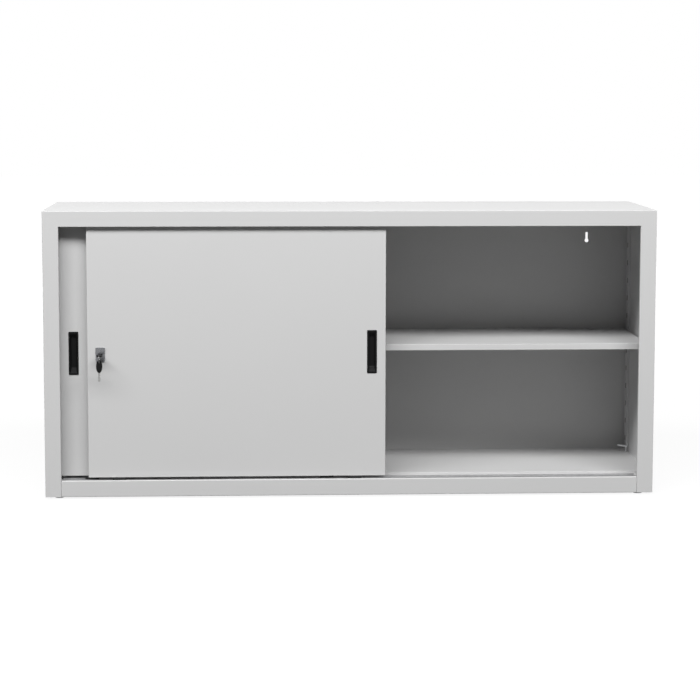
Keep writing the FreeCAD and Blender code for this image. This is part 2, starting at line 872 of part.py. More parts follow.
def make_door_panel(label, left, face, pull_centre, holes):
    """Door tray: face, four folds, and openings for the pull and other fittings."""
    panel = body(label)
    right = left + door_width
    middle = face + s.door_thickness / 2
    outline = sketch_on(panel, "XZ_Plane", -face)
    draw_outline(outline, rectangle((left, door_low), (right, door_top)))
    pad(panel, outline, s.door_thickness, backwards=True)
    round_edges(panel, ALONG_Z, [vector(left, face, 0), vector(right, face, 0)], s.door_edge)
    round_edges(panel, ALONG_X, [vector(0, face, door_low), vector(0, face, door_top)],
                s.door_edge)
    hollow = sketch_on(panel, "XZ_Plane", -(face + s.gauge))
    low = (left + s.gauge, door_low + s.gauge)
    draw_outline(hollow, rectangle(low, (right - s.gauge, door_top - s.gauge)))
    pocket(panel, hollow, s.door_thickness)
    pull = sketch_on(panel, "XZ_Plane", -face)
    draw_outline(pull, pull_outline(pull_centre, s.pull_play - s.pull_rim_width))
    pocket(panel, pull, s.gauge)
    for x, z, diameter in holes:
        hole = sketch_on(panel, "XZ_Plane", -face)
        draw_circle(hole, x, z, diameter)
        pocket(panel, hole, s.gauge)
    top_holes = sketch_on(panel, "XY_Plane", door_top)
    for x, y in hanger_screw_places(left, middle):
        draw_circle(top_holes, x, y, s.screw_shank)
    pocket(panel, top_holes, s.gauge)
    low_holes = sketch_on(panel, "XY_Plane", door_low + s.gauge)
    for x in hanger_places(left):
        draw_circle(low_holes, x, middle, s.guide_boss)
    pocket(panel, low_holes, s.gauge)


def pull_outline(centre, grow):
    """Rectangle of a pull seen from the front, grown all round."""
    x, z = centre
    half = s.pull_width / 2 + grow
    tall = s.pull_length / 2 + grow
    return rectangle((x - half, z - tall), (x + half, z + tall))


def make_door_back(label, left, face, holes):
    """Inner sheet of a door, set between the folds of its tray."""
    inner_sheet = body(label)
    inside = face + s.door_thickness - s.gauge
    outline = sketch_on(inner_sheet, "XZ_Plane", -inside)
    low = (left + s.gauge, door_low + s.gauge)
    high = (left + door_width - s.gauge, door_top - s.gauge)
    draw_outline(outline, rectangle(low, high))
    pad(inner_sheet, outline, s.gauge, backwards=True)
    for x, z, diameter in holes:
        hole = sketch_on(inner_sheet, "XZ_Plane", -inside)
        draw_circle(hole, x, z, diameter)
        pocket(inner_sheet, hole, s.gauge)


def make_stiffener(label, left, face):
    """Hat channel up the middle of a door, between its two sheets."""
    channel = body(label)
    middle = left + door_width / 2
    near = face + s.gauge
    far = face + s.door_thickness - s.gauge
    crown = s.stiffener_width / 2
    foot = crown + s.stiffener_foot
    profile = sketch_on(channel, "XY_Plane", door_low + s.gauge)
    draw_outline(profile, [
        (middle - foot, near),
        (middle - crown, near),
        (middle - crown, far - s.gauge),
        (middle + crown, far - s.gauge),
        (middle + crown, near),
        (middle + foot, near),
        (middle + foot, near + s.gauge),
        (middle + crown + s.gauge, near + s.gauge),
        (middle + crown + s.gauge, far),
        (middle - crown - s.gauge, far),
        (middle - crown - s.gauge, near + s.gauge),
        (middle - foot, near + s.gauge),
    ])
    pad(channel, profile, door_top - door_low - s.gauge * 2)


def make_pull(label, centre, face):
    """Recessed pull: a rim on the door's face and a cup behind it."""
    pull = body(label)
    rim = sketch_on(pull, "XZ_Plane", -face)
    draw_outline(rim, pull_outline(centre, 0))
    pad(pull, rim, s.pull_rim)
    cup = sketch_on(pull, "XZ_Plane", -face)
    draw_outline(cup, pull_outline(centre, -s.pull_rim_width))
    pad(pull, cup, s.pull_depth, backwards=True)
    hollow = sketch_on(pull, "XZ_Plane", -(face + s.pull_depth - s.pull_wall))
    draw_outline(hollow, pull_outline(centre, -(s.pull_rim_width + s.pull_wall)))
    pocket(pull, hollow, s.pull_depth - s.pull_wall + s.pull_rim, backwards=True)


def make_hangers(door, left, middle):
    """For each end of a door: bent hanger, its screws, an axle and a roller."""
    hangers = []
    axles = []
    screw_places = hanger_screw_places(left, middle)
    plate_front = lip_front(middle) - s.hanger_gap - s.hanger_gauge
    plate_top = axle_height + s.axle_head / 2
    foot_top = door_top + s.hanger_gauge
    for end, x in zip(("left", "right"), hanger_places(left)):
        name = door + end
        low = [x - s.hanger_width / 2, plate_front, door_top]
        high_x = x + s.hanger_width / 2
        foot = block_between(name + "Foot", low, [high_x, middle + s.screw_head, foot_top])
        plate_high = [high_x, plate_front + s.hanger_gauge, plate_top]
        plate = block_between(name + "Plate", low, plate_high)
        holes = [rod(name + "Bore", "Y", (x, plate_front, axle_height), axle_diameter,
                     s.hanger_gauge)]
        for number, (screw_x, y) in enumerate(screw_places):
            at = (screw_x, y, door_top)
            holes.append(rod(name + "Hole" + str(number), "Z", at, s.screw_shank,
                             s.hanger_gauge))
        hangers.append(cut(name + "Hanger", fused(name + "Bent", [foot, plate]), holes))
        axles.append(axle(name, x, plate_front, middle))
        make_roller(door + "_roller_" + end, x, middle)
    screws = []
    for number, (x, y) in enumerate(screw_places):
        name = door + "Screw" + str(number)
        head = rod(name + "Head", "Z", (x, y, foot_top), s.screw_head, s.screw_head_height)
        low_z = foot_top - s.screw_length
        shank_length = s.screw_length + s.screw_head_height
        shank = rod(name + "Shank", "Z", (x, y, low_z), s.screw_shank, shank_length)
        screws.append(fused(name, [head, shank]))
    keep(group(door + "_hangers", hangers), door + "_hangers")
    keep(group(door + "_hanger_screws", screws), door + "_hanger_screws")
    keep(group(door + "_axles", axles), door + "_axles")


def axle(name, x, plate_front, middle):
    """Riveted axle with a head in front of the hanger and a keeper behind the roller."""
    head_front = plate_front - s.screw_head_height
    head = rod(name + "Head", "Y", (x, head_front, axle_height), s.axle_head,
               s.screw_head_height)
    keeper_front = middle + s.roller_width / 2 + s.track_play
    keeper_back = keeper_front + s.axle_keeper_thickness
    pin = rod(name + "Pin", "Y", (x, head_front, axle_height), axle_diameter,
              keeper_back - head_front)
    keeper = rod(name + "Keeper", "Y", (x, keeper_front, axle_height), s.axle_keeper,
                 s.axle_keeper_thickness)
    return fused(name + "Axle", [head, pin, keeper])


def make_roller(label, x, middle):
    """Nylon roller with a bore that runs on the axle."""
    roller = body(label)
    disc = sketch_on(roller, "XZ_Plane", -roller_front(middle))
    draw_circle(disc, x, axle_height, s.roller_diameter)
    draw_circle(disc, x, axle_height, s.roller_bore)
    pad(roller, disc, s.roller_width, backwards=True)


def make_guides(label, left, middle):
    """Nylon shoes under a door, each slotted over the rib of the bottom track."""
    shoes = []
    rib_top = floor_top + s.rib_height
    low_z = floor_top + s.gauge + s.guide_gap
    for x in hanger_places(left):
        name = label + str(len(shoes))
        low_x = x - s.guide_length / 2
        high_x = x + s.guide_length / 2
        half = s.guide_width / 2
        block_low = [low_x, middle - half, low_z]
        solid = block_between(name + "Block", block_low, [high_x, middle + half, door_low])
        boss = rod(name + "Boss", "Z", (x, middle, door_low), s.guide_boss, s.guide_boss_length)
        slot_half = s.rib_width / 2 + s.rib_play
        slot_low = [low_x, middle - slot_half, low_z]
        slot_high = [high_x, middle + slot_half, rib_top + s.rib_top_play]
        slot = block_between(name + "Slot", slot_low, slot_high)
        shoes.append(cut(name + "Shoe", fused(name + "Solid", [solid, boss]), [slot]))
    keep(group(label, shoes), label)


def make_door(door, left, face, pull_centre, face_holes, back_holes):
    """One door with all that hangs, guides and opens it."""
    middle = face + s.door_thickness / 2
    make_door_panel(door + "_panel", left, face, pull_centre, face_holes)
    make_door_back(door + "_back", left, face, back_holes)
    make_stiffener(door + "_stiffener", left, face)
    make_pull(door + "_pull", pull_centre, face)
    make_hangers(door, left, middle)
    make_guides(door + "_guides", left, middle)


# ---------------------------------------------------------------- lock

lock_x = front_door_left + s.lock_inset
door_behind = front_door_front + s.door_thickness
nose_front = front_door_front - s.lock_plate_thickness - s.lock_nose
plug_front = nose_front - s.plug_nose
barrel_back = door_behind + s.lock_nut_thickness
cam_front = barrel_back + s.cam_gap
head_end = plug_front - s.key_shoulder - s.key_head_length
ring_middle = head_end + s.key_bridge / 2
ring_top_inside = s.lock_height + s.key_head_thickness / 2 + s.ring_slack
ring_height = ring_top_inside - s.ring_radius + s.ring_wire / 2
ring_low = ring_height - s.ring_radius
key_depth = s.key_blade_length - s.key_shoulder
lock_hole = s.lock_barrel + s.pull_play
strike_right = lock_x + travel - diagonal(s.cam_reach, s.cam_hook_drop) - s.strike_play
strike_top = s.lock_height - s.strike_drop
strike_screws = [(strike_right - s.strike_width / 2, strike_top - s.strike_height * share / 4)
                 for share in (1, 3)]


def make_lock_body():
    """Square-edged plate with a round nose, and the barrel through the door."""
    half = s.lock_plate_width / 2
    plate_low = [lock_x - half, front_door_front - s.lock_plate_thickness,
                 s.lock_height - s.lock_plate_height / 2]
    extent = [s.lock_plate_width, s.lock_plate_thickness, s.lock_plate_height]
    plate = block("LockPlate", plate_low, extent)
    length = barrel_back - nose_front
    barrel = rod("LockBarrel", "Y", (lock_x, nose_front, s.lock_height), s.lock_barrel, length)
    bore_diameter = s.plug_diameter + s.lock_play * 2
    bore = rod("LockBore", "Y", (lock_x, nose_front, s.lock_height), bore_diameter, length)
    keep(cut("lock_body", fused("LockSolid", [plate, barrel]), [bore]), "lock_body")


def make_lock_nut():
    nut = doc.addObject("Part::Prism", "LockNutHex")
    nut.Polygon = 6
    nut.Placement = FreeCAD.Placement(FreeCAD.Vector(), ALONG["Y"])
    bind(nut, "Circumradius", hexagon_radius(s.lock_nut_width))
    bind(nut, "Height", s.lock_nut_thickness)
    place(nut, lock_x, door_behind, s.lock_height)
    bore = rod("LockNutBore", "Y", (lock_x, door_behind, s.lock_height), s.lock_barrel,
               s.lock_nut_thickness)
    keep(cut("lock_nut", nut, [bore]), "lock_nut")


def make_plug_and_cam():
    """The turning plug with its keyway, the cam on its end and the cam's screw."""
    centre = (lock_x, plug_front, s.lock_height)
    plug = rod("PlugSolid", "Y", centre, s.plug_diameter, cam_front - plug_front)
    half_blade = s.key_blade_width / 2
    half_thick = s.key_blade_thickness / 2
    way_low = [lock_x - half_blade, plug_front, s.lock_height - half_thick]
    way_high = [lock_x + half_blade, plug_front + key_depth, s.lock_height + half_thick]
    way = block_between("Keyway", way_low, way_high)
    cam_back = cam_front + s.cam_gauge
    shank_in = s.cam_screw_length - s.cam_gauge
    shank_start = (lock_x, cam_front - shank_in, s.lock_height)
    tapped = rod("PlugTapped", "Y", shank_start, s.cam_screw_shank, shank_in)
    keep(cut("lock_plug", plug, [way, tapped]), "lock_plug")

    hub = rod("CamHub", "Y", (lock_x, cam_front, s.lock_height), s.cam_hub, s.cam_gauge)
    half_arm = s.cam_width / 2
    arm_low = [lock_x - half_arm, cam_front, s.lock_height]
    arm_high = [lock_x + half_arm, cam_back, s.lock_height + s.cam_reach]
    arm = block_between("CamArm", arm_low, arm_high)
    hook_low = [lock_x - s.cam_hook_drop, cam_front, arm_high[2] - s.cam_hook]
    hook = block_between("CamHook", hook_low, [lock_x, cam_back, arm_high[2]])
    hole_start = (lock_x, cam_front, s.lock_height)
    hole = rod("CamHole", "Y", hole_start, s.cam_screw_shank, s.cam_gauge)
    keep(cut("lock_cam", fused("CamSolid", [hub, arm, hook]), [hole]), "lock_cam")

    head = rod("CamScrewHead", "Y", (lock_x, cam_back, s.lock_height), s.cam_screw_head,
               s.screw_head_height)
    shank = rod("CamScrewShank", "Y", shank_start, s.cam_screw_shank, s.cam_screw_length)
    keep(fused("cam_screw", [head, shank]), "cam_screw")


def key_head(name, flat_axis, end_y, end_z, centre_x):
    """Rounded plastic head with a hole near its free end."""
    radius = s.key_head_width / 2
    thin = s.key_head_thickness
    straight = s.key_head_length - s.key_head_width
    hole_in = s.key_bridge + s.key_hole / 2
    if flat_axis == "Z":
        low_z = end_z - thin / 2
        first = (centre_x, end_y + radius, low_z)
        second = (centre_x, end_y + radius + straight, low_z)
        middle = block(name + "Middle", [centre_x - radius, end_y + radius, low_z],
                       [s.key_head_width, straight, thin])
        hole_at = (centre_x, end_y + hole_in, low_z)
    else:
        low_y = end_y - thin / 2
        first = (centre_x, low_y, end_z - radius)
        second = (centre_x, low_y, end_z - radius - straight)
        middle = block(name + "Middle", [centre_x - radius, low_y, end_z - radius - straight],
                       [s.key_head_width, thin, straight])
        hole_at = (centre_x, low_y, end_z - hole_in)
    ends = [rod(name + "End" + str(n), flat_axis, at, s.key_head_width, thin)
            for n, at in enumerate((first, second))]
    hole = rod(name + "Hole", flat_axis, hole_at, s.key_hole, thin)
    return keep(cut(name, fused(name + "Solid", ends + [middle]), [hole]), name)


def make_keys():
    """Key in the lock, its ring and the spare key that hangs on the ring."""
    half_blade = s.key_blade_width / 2
    half_thick = s.key_blade_thickness / 2
    key_head("key_head", "Z", head_end, s.lock_height, lock_x)
    low = [lock_x - half_blade, plug_front - s.key_shoulder, s.lock_height - half_thick]
    extent = [s.key_blade_width, s.key_blade_length, s.key_blade_thickness]
    keep(block("key_blade", low, extent), "key_blade")

    ring = doc.addObject("Part::Torus", "key_ring")
    ring.Placement = FreeCAD.Placement(FreeCAD.Vector(), ALONG["X"])
    bind(ring, "Radius1", s.ring_radius)
    bind(ring, "Radius2", s.ring_wire / 2)
    place(ring, lock_x, ring_middle, ring_height)
    keep(ring, "key_ring")

    hole_top = ring_low + s.ring_wire
    spare_top = hole_top + s.key_bridge
    key_head("spare_key_head", "Y", ring_middle, spare_top, lock_x)
    spare_low = spare_top - s.key_head_length - s.key_blade_length
    low = [lock_x - half_blade, ring_middle - half_thick, spare_low]
    extent = [s.key_blade_width, s.key_blade_thickness, s.key_blade_length]
    keep(block("spare_key_blade", low, extent), "spare_key_blade")


def make_strike():
    """Angle on the rear door that the cam's hook comes against, and its two screws."""
    face = rear_door_front
    left = strike_right - s.strike_width
    low_z = strike_top - s.strike_height
    plate = block_between("StrikePlate", [left, face - s.strike_gauge, low_z],
                          [strike_right, face, strike_top])
    tab_low = [strike_right - s.strike_gauge, door_behind + s.strike_gap,
               strike_top - s.strike_tab_height]
    tab = block_between("StrikeTab", tab_low, [strike_right, face, strike_top])
    holes = []
    screws = []
    for number, (x, z) in enumerate(strike_screws):
        name = "StrikeScrew" + str(number)
        head_front = face - s.strike_gauge - s.screw_head_height
        shank_length = s.screw_length + s.screw_head_height
        holes.append(rod(name + "Hole", "Y", (x, face - s.strike_gauge, z), s.screw_shank,
                         s.strike_gauge))
        head = rod(name + "Head", "Y", (x, head_front, z), s.screw_head, s.screw_head_height)
        shank = rod(name + "Shank", "Y", (x, head_front, z), s.screw_shank, shank_length)
        screws.append(fused(name, [head, shank]))
    keep(cut("strike", fused("StrikeSolid", [plate, tab]), holes), "strike")
    keep(group("strike_screws", screws), "strike_screws")


# ---------------------------------------------------------------- build

def check_and_write():
    """Stop on any failed object, then write one STEP file for each piece."""
    doc.recompute()
    for item in doc.Objects:
        if "Invalid" in item.State or "Error" in item.State:
            raise ValueError("failed object: " + item.Name)
    for item in pieces:
        if item.Shape.isNull() or not item.Shape.isValid():
            raise ValueError("bad shape: " + item.Label)
    os.makedirs("parts", exist_ok=True)
    for item in pieces:
        item.Shape.exportStep("parts/" + item.Label + ".step")
    print(len(pieces), "pieces written")


make_side_panel("side_panel_left", -1)
make_side_panel("side_panel_right", 1)
make_top_panel()
make_bottom_rail()
make_bottom_panel()
make_back_panel()
for side_name, side_sign in (("left", -1), ("right", 1)):
    make_upright("upright_front_" + side_name, side_sign, front_slots)
    make_upright("upright_back_" + side_name, side_sign, back_slots)
    make_shelf("shelf_" + side_name, side_sign)
make_partition()
make_shelf_clips()
make_feet()
make_top_track()
make_track_rivets()
make_track_stops()
make_bottom_track()
lock_holes = [(lock_x, s.lock_height, lock_hole)]
strike_holes = [(x, z, s.screw_shank) for x, z in strike_screws]
front_pull = (front_pull_x, s.pull_height)
rear_pull = (rear_pull_x, s.pull_height - s.rear_pull_drop)
make_door("front_door", front_door_left, front_door_front, front_pull, lock_holes, lock_holes)
make_door("rear_door", rear_door_left, rear_door_front, rear_pull, strike_holes, [])
make_lock_body()
make_lock_nut()
make_plug_and_cam()
make_keys()
make_strike()
check_and_write()
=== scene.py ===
"""Looks of a low steel cabinet with two sliding doors, laid out as a Blender add-on.

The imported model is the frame: +Z up, the front faces -Y, lengths in metres. Sheet metal keeps the
frame's own meshes. Pulls, lock, keys, feet, clips, rollers, hangers, screws and the sill between the
stiles are modelled here and ride on the bodies of the nodes they stand for.
"""

import json
import math
from contextlib import contextmanager

import bmesh
import bpy
from bpy.props import FloatProperty, FloatVectorProperty, IntProperty, PointerProperty
from mathutils import Matrix, Vector


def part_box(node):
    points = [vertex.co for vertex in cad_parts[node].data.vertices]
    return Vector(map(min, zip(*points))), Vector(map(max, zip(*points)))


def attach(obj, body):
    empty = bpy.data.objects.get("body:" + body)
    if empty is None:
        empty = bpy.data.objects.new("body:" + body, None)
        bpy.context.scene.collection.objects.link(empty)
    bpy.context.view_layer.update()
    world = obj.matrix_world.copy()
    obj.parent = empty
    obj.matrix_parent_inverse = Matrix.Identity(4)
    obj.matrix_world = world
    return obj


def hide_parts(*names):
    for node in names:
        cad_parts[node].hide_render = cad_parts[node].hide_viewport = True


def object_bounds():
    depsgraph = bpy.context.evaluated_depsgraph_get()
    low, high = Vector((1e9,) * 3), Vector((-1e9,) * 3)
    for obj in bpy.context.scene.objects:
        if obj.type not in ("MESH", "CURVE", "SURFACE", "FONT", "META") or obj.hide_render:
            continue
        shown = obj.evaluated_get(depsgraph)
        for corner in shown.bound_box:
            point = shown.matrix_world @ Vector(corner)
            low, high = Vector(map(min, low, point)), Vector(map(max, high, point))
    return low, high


bl_info = {
    "name": "Sliding Door Cabinet",
    "version": (1, 0, 0),
    "blender": (4, 5, 0),
    "location": "View3D > Sidebar > Cabinet",
    "description": "Details, finishes and a studio for a steel cabinet with sliding doors",
    "category": "Add Mesh",
}

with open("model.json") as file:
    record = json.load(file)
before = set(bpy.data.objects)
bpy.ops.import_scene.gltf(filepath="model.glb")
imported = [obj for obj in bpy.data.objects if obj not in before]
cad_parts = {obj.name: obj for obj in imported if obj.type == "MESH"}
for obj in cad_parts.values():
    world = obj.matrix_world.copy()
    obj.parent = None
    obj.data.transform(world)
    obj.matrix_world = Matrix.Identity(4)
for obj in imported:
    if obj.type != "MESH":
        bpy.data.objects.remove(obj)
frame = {"nodes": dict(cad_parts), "record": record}
CAD_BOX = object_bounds()

MM = 0.001
RIGHT = Vector((1, 0, 0))
BACK = Vector((0, 1, 0))
UP = Vector((0, 0, 1))
CLOSE = 0.02 * MM        # places nearer than this are the same place
PAST = 1 * MM            # how far a cutting tool stands out of what it cuts
SAME_WAY = 0.99          # directions with a larger cosine between them count as the same
SMOOTH_BELOW = math.radians(32)      # faces that meet at a smaller angle shade as one
SHARP_ABOVE = math.radians(40)       # edges whose faces meet at a larger angle are rounded
IMAGE_WIDTH = 700        # pixels, of a square image
SENSOR_WIDTH = 36        # millimetres
VIEW_DEPTH = 100         # metres

DOORS = ("front_door", "rear_door")
BODY_OF = {
    node: body
    for body, nodes in frame["record"]["behaviour"]["bodies"].items()
    for node in nodes
}
SLOT_OF = {part["node"]: part["material_slot"] for part in frame["record"]["subparts"]}


# ---------------------------------------------------------------- sizes and colours

def linear(hex_colour):
    """An sRGB hex colour as linear red, green, blue and alpha."""
    shares = [int(hex_colour[place:place + 2], 16) / 255 for place in (1, 3, 5)]
    toe = 0.04045
    return tuple(
        share / 12.92 if share <= toe else ((share + 0.055) / 1.055) ** 2.4 for share in shares
    ) + (1.0,)


def length(name, description, millimetres):
    return FloatProperty(name=name, description=description, default=millimetres * MM,
                         min=0.0, precision=5, unit="LENGTH")


def angle(name, description, degrees):
    return FloatProperty(name=name, description=description, default=math.radians(degrees),
                         precision=4, unit="ROTATION")


def amount(name, description, value):
    return FloatProperty(name=name, description=description, default=value)


def count(name, description, value):
    return IntProperty(name=name, description=description, default=value, min=2)


def colour(name, description, hex_colour):
    return FloatVectorProperty(name=name, description=description, default=linear(hex_colour),
                               size=4, min=0.0, max=1.0, subtype="COLOR")


class CabinetFinishes(bpy.types.PropertyGroup):
    """Colours of the finishes."""

    paint: colour("Powder Coat", "Light grey powder coat on all sheet metal", "#C4C4C4")
    zinc: colour("Zinc", "Bright zinc plating on clips, hangers and screws", "#DEDFE1")
    galvanised: colour("Galvanised", "Galvanised sheet of track and stiffeners", "#A6A6A7")
    chrome: colour("Satin Chrome", "Plating of the lock", "#7E7F82")
    nickel: colour("Nickel", "Plating of key blades and ring", "#9C9C9B")
    pull: colour("Pull ABS", "Moulded pulls", "#0B0B0C")
    key: colour("Key Nylon", "Moulded key heads", "#0A0A0B")
    foot: colour("Foot Polyethylene", "Moulded foot glides", "#232425")
    nylon: colour("Roller Nylon", "Moulded rollers", "#E4E3DC")
    acetal: colour("Guide Acetal", "Moulded guide shoes under the doors", "#1A1A1B")
    rubber: colour("Stop Rubber", "Door stops in the track", "#262626")


class CabinetSheet(bpy.types.PropertyGroup):
    """Sizes of folded sheet."""

    gauge: length("Gauge", "Thickness of the sheet", 1.0)
    fold: length("Fold Radius", "Outer radius of a fold", 2.0)
    lip: length("Sill Lip", "Depth of the sill's upper fold", 11.0)
    seam: length("Seam", "Open seam between sill and stile", 0.9)
    burr: length("Edge", "Rounding of a cut edge", 0.2)


class CabinetPull(bpy.types.PropertyGroup):
    """Sizes of a recessed pull."""

    rim: length("Rim", "How far the rim stands on the door", 1.5)
    rim_width: length("Rim Width", "Rim outside the cup", 3.0)
    wall: length("Wall", "Wall of the cup", 1.5)
    corner: length("Corner", "Radius of the rim's corners", 2.6)
    scoop: length("Scoop", "Length of the sloped end of the pocket", 15.0)
    draft: length("Draft", "How far the pocket's long sides lean inwards", 1.6)
    hollow: length("Hollow", "Rounding where the pocket's floor meets its sides", 2.0)
    lip: length("Lip", "Rounding of the rim's front edges", 0.7)


class CabinetLock(bpy.types.PropertyGroup):
    """Sizes of the lock."""

    barrel: length("Barrel", "Diameter of the barrel", 18.0)
    plate: length("Plate", "Thickness of the plate", 3.0)
    border: length("Border", "Raised border of the plate", 1.6)
    corner: length("Corner", "Radius of the plate's corners", 2.8)
    plug: length("Plug", "Diameter of the plug", 11.0)
    keyway_width: length("Keyway Width", "Width of the keyway", 7.0)
    keyway_height: length("Keyway Height", "Height of the keyway", 2.0)


class CabinetKey(bpy.types.PropertyGroup):
    """Sizes of a key."""

    head_length: length("Head Length", "Head along the key", 38.0)
    head_width: length("Head Width", "Head across the key", 18.0)
    head_thickness: length("Head Thickness", "Thickness of the head", 3.5)
    bridge: length("Bridge", "Head between its hole and its end", 3.3)
    hole: length("Hole", "Diameter of the hole", 5.0)
    blade_length: length("Blade Length", "Blade outside the head", 25.5)
    tang: length("Tang", "Blade inside the head", 2.5)
    blade_width: length("Blade Width", "Width of the blade", 7.0)
    blade_thickness: length("Blade Thickness", "Thickness of the blade", 2.0)
    blade_edge: length("Blade Edge", "Rounding of the blade's edges", 0.12)
    cuts: count("Cuts", "Cuts in the blade", 6)
    ring_radius: length("Ring Radius", "Radius of the ring's wire line", 9.0)
    ring_wire: length("Ring Wire", "Wire of the ring with both its turns", 1.38)


class CabinetFittings(bpy.types.PropertyGroup):
    """Sizes of fittings."""

    screw_head: length("Screw Head", "Diameter of a screw's or rivet's head", 7.0)
    head_height: length("Head Height", "Height of a screw's or rivet's head", 1.6)
    screw_shank: length("Screw Shank", "Diameter of a screw's shank", 3.6)
    screw_length: length("Screw Length", "Length below the head", 6.0)
    hanger_width: length("Hanger Width", "Width of a door hanger", 36.0)
    hanger_gauge: length("Hanger Gauge", "Sheet of a door hanger", 2.0)
    hanger_edge: length("Hanger Edge", "Rounding of a door hanger's edges", 0.3)
    axle_head: length("Axle Head", "Diameter of an axle's head", 9.0)
    axle_keeper: length("Axle Keeper", "Diameter of an axle's keeper", 7.5)
    axle_pin: length("Axle Pin", "Diameter of an axle", 4.9)
    axle_edge: length("Axle Edge", "Rounding of an axle's edges", 0.2)
    keeper: length("Keeper", "Thickness of an axle's keeper", 1.0)
    bore: length("Roller Bore", "Bore of a roller", 5.0)
    groove: length("Roller Groove", "Depth of a roller's tread", 0.7)
    roller_edge: length("Roller Edge", "Rounding of a roller's edges", 0.25)
    clip_gauge: length("Clip Gauge", "Sheet of a shelf clip", 1.5)
    clip_reach: length("Clip Reach", "Ledge of a shelf clip", 30.0)
    clip_leg: length("Clip Leg", "Leg of a shelf clip", 20.0)
    clip_width: length("Clip Width", "Width of a shelf clip", 7.4)
    clip_hook: length("Clip Hook", "Hook behind the slot", 2.8)
    clip_lip: length("Clip Lip", "Height of the hook", 8.0)
    clip_rib: length("Clip Rib", "Fold that stiffens the ledge along its sides", 3.5)
    clip_edge: length("Clip Edge", "Rounding of a shelf clip's edges", 0.2)
    clip_tilt: angle("Clip Tilt", "Spare clip's ledge above the level", 9.0)
    foot_diameter: length("Foot Diameter", "Diameter of a foot glide", 30.0)
    foot_height: length("Foot Height", "Height below the cabinet", 7.0)
    foot_stem: length("Foot Stem", "Diameter of a foot's stem", 8.0)
    rivets: count("Rivets", "Rivets of the track", 5)


class CabinetStudio(bpy.types.PropertyGroup):
    """Camera and light."""

    camera: FloatVectorProperty(name="Camera", description="Place of the camera",
                                default=(-0.2714, -5.8817, 1.2167), subtype="TRANSLATION")
    yaw: angle("Yaw", "Camera turned towards the right", 2.693)
    pitch: angle("Pitch", "Camera tilted down", 5.581)
    roll: angle("Roll", "Camera turned about its own axis", 0.092)
    focal: amount("Focal Length", "Millimetres, on a sensor 36 mm wide", 100.23)
    axis_row: amount("Axis Row", "Pixel row of the camera's own axis", 275.04)
    key_turn: angle("Key Turn", "Key light from the left of the front", 8.0)
    key_rise: angle("Key Rise", "Key light above the horizon", 50.0)
    key_distance: length("Key Distance", "From the middle of the cabinet", 7000.0)
    key_width: length("Key Width", "Width of the key light", 14000.0)
    key_height: length("Key Height", "Height of the key light", 1900.0)
    key_power: amount("Key Power", "Watts", 1190.0)
    fill_rise: angle("Fill Rise", "Fill light behind the cabinet above the horizon", 3.0)
    fill_power: amount("Fill Power", "Watts", 420.0)
    ambient: amount("Ambient", "Strength of the room's light", 0.02)
    floor: colour("Floor", "What the floor gives back to the cabinet", "#585858")
    floor_size: length("Floor Size", "Side of the square floor", 40000.0)
    floor_glow: amount("Floor Glow", "Lifts the floor near the cabinet towards white", 0.9)
    glow_near: length("Glow Near", "Where the floor's glow starts to grow", 1500.0)
    glow_far: length("Glow Far", "Where the floor's glow is full", 6000.0)


GROUPS = {
    "cabinet_finishes": CabinetFinishes,
    "cabinet_sheet": CabinetSheet,
    "cabinet_pull": CabinetPull,
    "cabinet_lock": CabinetLock,
    "cabinet_key": CabinetKey,
    "cabinet_fittings": CabinetFittings,
    "cabinet_studio": CabinetStudio,
}


# ---------------------------------------------------------------- modelling

def settle(name):
    """Name the new object and put its place into its mesh."""
    piece = bpy.context.object
    bpy.ops.object.transform_apply(location=True, rotation=True, scale=True)
    piece.name = name
    piece.data.name = name
    return piece


def start_block(name, low, high):
    """A block between two corners."""
    bpy.ops.object.select_all(action="DESELECT")
    low = Vector(low)
    high = Vector(high)
    bpy.ops.mesh.primitive_cube_add(size=1, location=(low + high) / 2)
    bpy.context.object.scale = high - low
    return settle(name)


def start_disc(name, axis, start, diameter, depth, corners=64):
    """A disc or rod from the centre of its first end along an axis."""
    bpy.ops.object.select_all(action="DESELECT")
    middle = Vector(start) + axis * depth / 2
    turn = UP.rotation_difference(axis).to_euler()
    bpy.ops.mesh.primitive_cylinder_add(vertices=corners, radius=diameter / 2, depth=depth,
                                        end_fill_type="NGON", location=middle, rotation=turn)
    return settle(name)


def start_sheet(name, low, high):
    """A flat sheet with no thickness between two corners that share one coordinate."""
    bpy.ops.object.select_all(action="DESELECT")
    low = Vector(low)
    high = Vector(high)
    extent = high - low
    flat = min(range(3), key=lambda axis: extent[axis])
    normal = (RIGHT, BACK, UP)[flat]
    turn = UP.rotation_difference(normal)
    bpy.ops.mesh.primitive_plane_add(size=1, location=(low + high) / 2,
                                     rotation=turn.to_euler())
    across = turn.inverted() @ extent
    bpy.context.object.scale = (abs(across.x), abs(across.y), 1)
    return settle(name)


@contextmanager
def editing(piece):
    """Edit mode on one piece."""
    make_active(piece)
    bpy.ops.object.mode_set(mode="EDIT")
    yield
    bpy.ops.object.mode_set(mode="OBJECT")


def make_active(piece):
    bpy.ops.object.select_all(action="DESELECT")
    piece.select_set(True)
    bpy.context.view_layer.objects.active = piece


def pick(kind, test):
    """Select the faces, edges or corners of the edited piece that pass a test."""
    piece = bpy.context.edit_object
    bpy.ops.mesh.select_mode(type=kind)
    bpy.ops.mesh.select_all(action="DESELECT")
    mesh = bmesh.from_edit_mesh(piece.data)
    mesh.normal_update()
    items = {"FACE": mesh.faces, "EDGE": mesh.edges, "VERT": mesh.verts}[kind]
    chosen = [item for item in items if test(item)]
    if not chosen:
        raise ValueError("nothing to pick on " + piece.name)
    for item in chosen:
        item.select_set(True)
    bmesh.update_edit_mesh(piece.data)


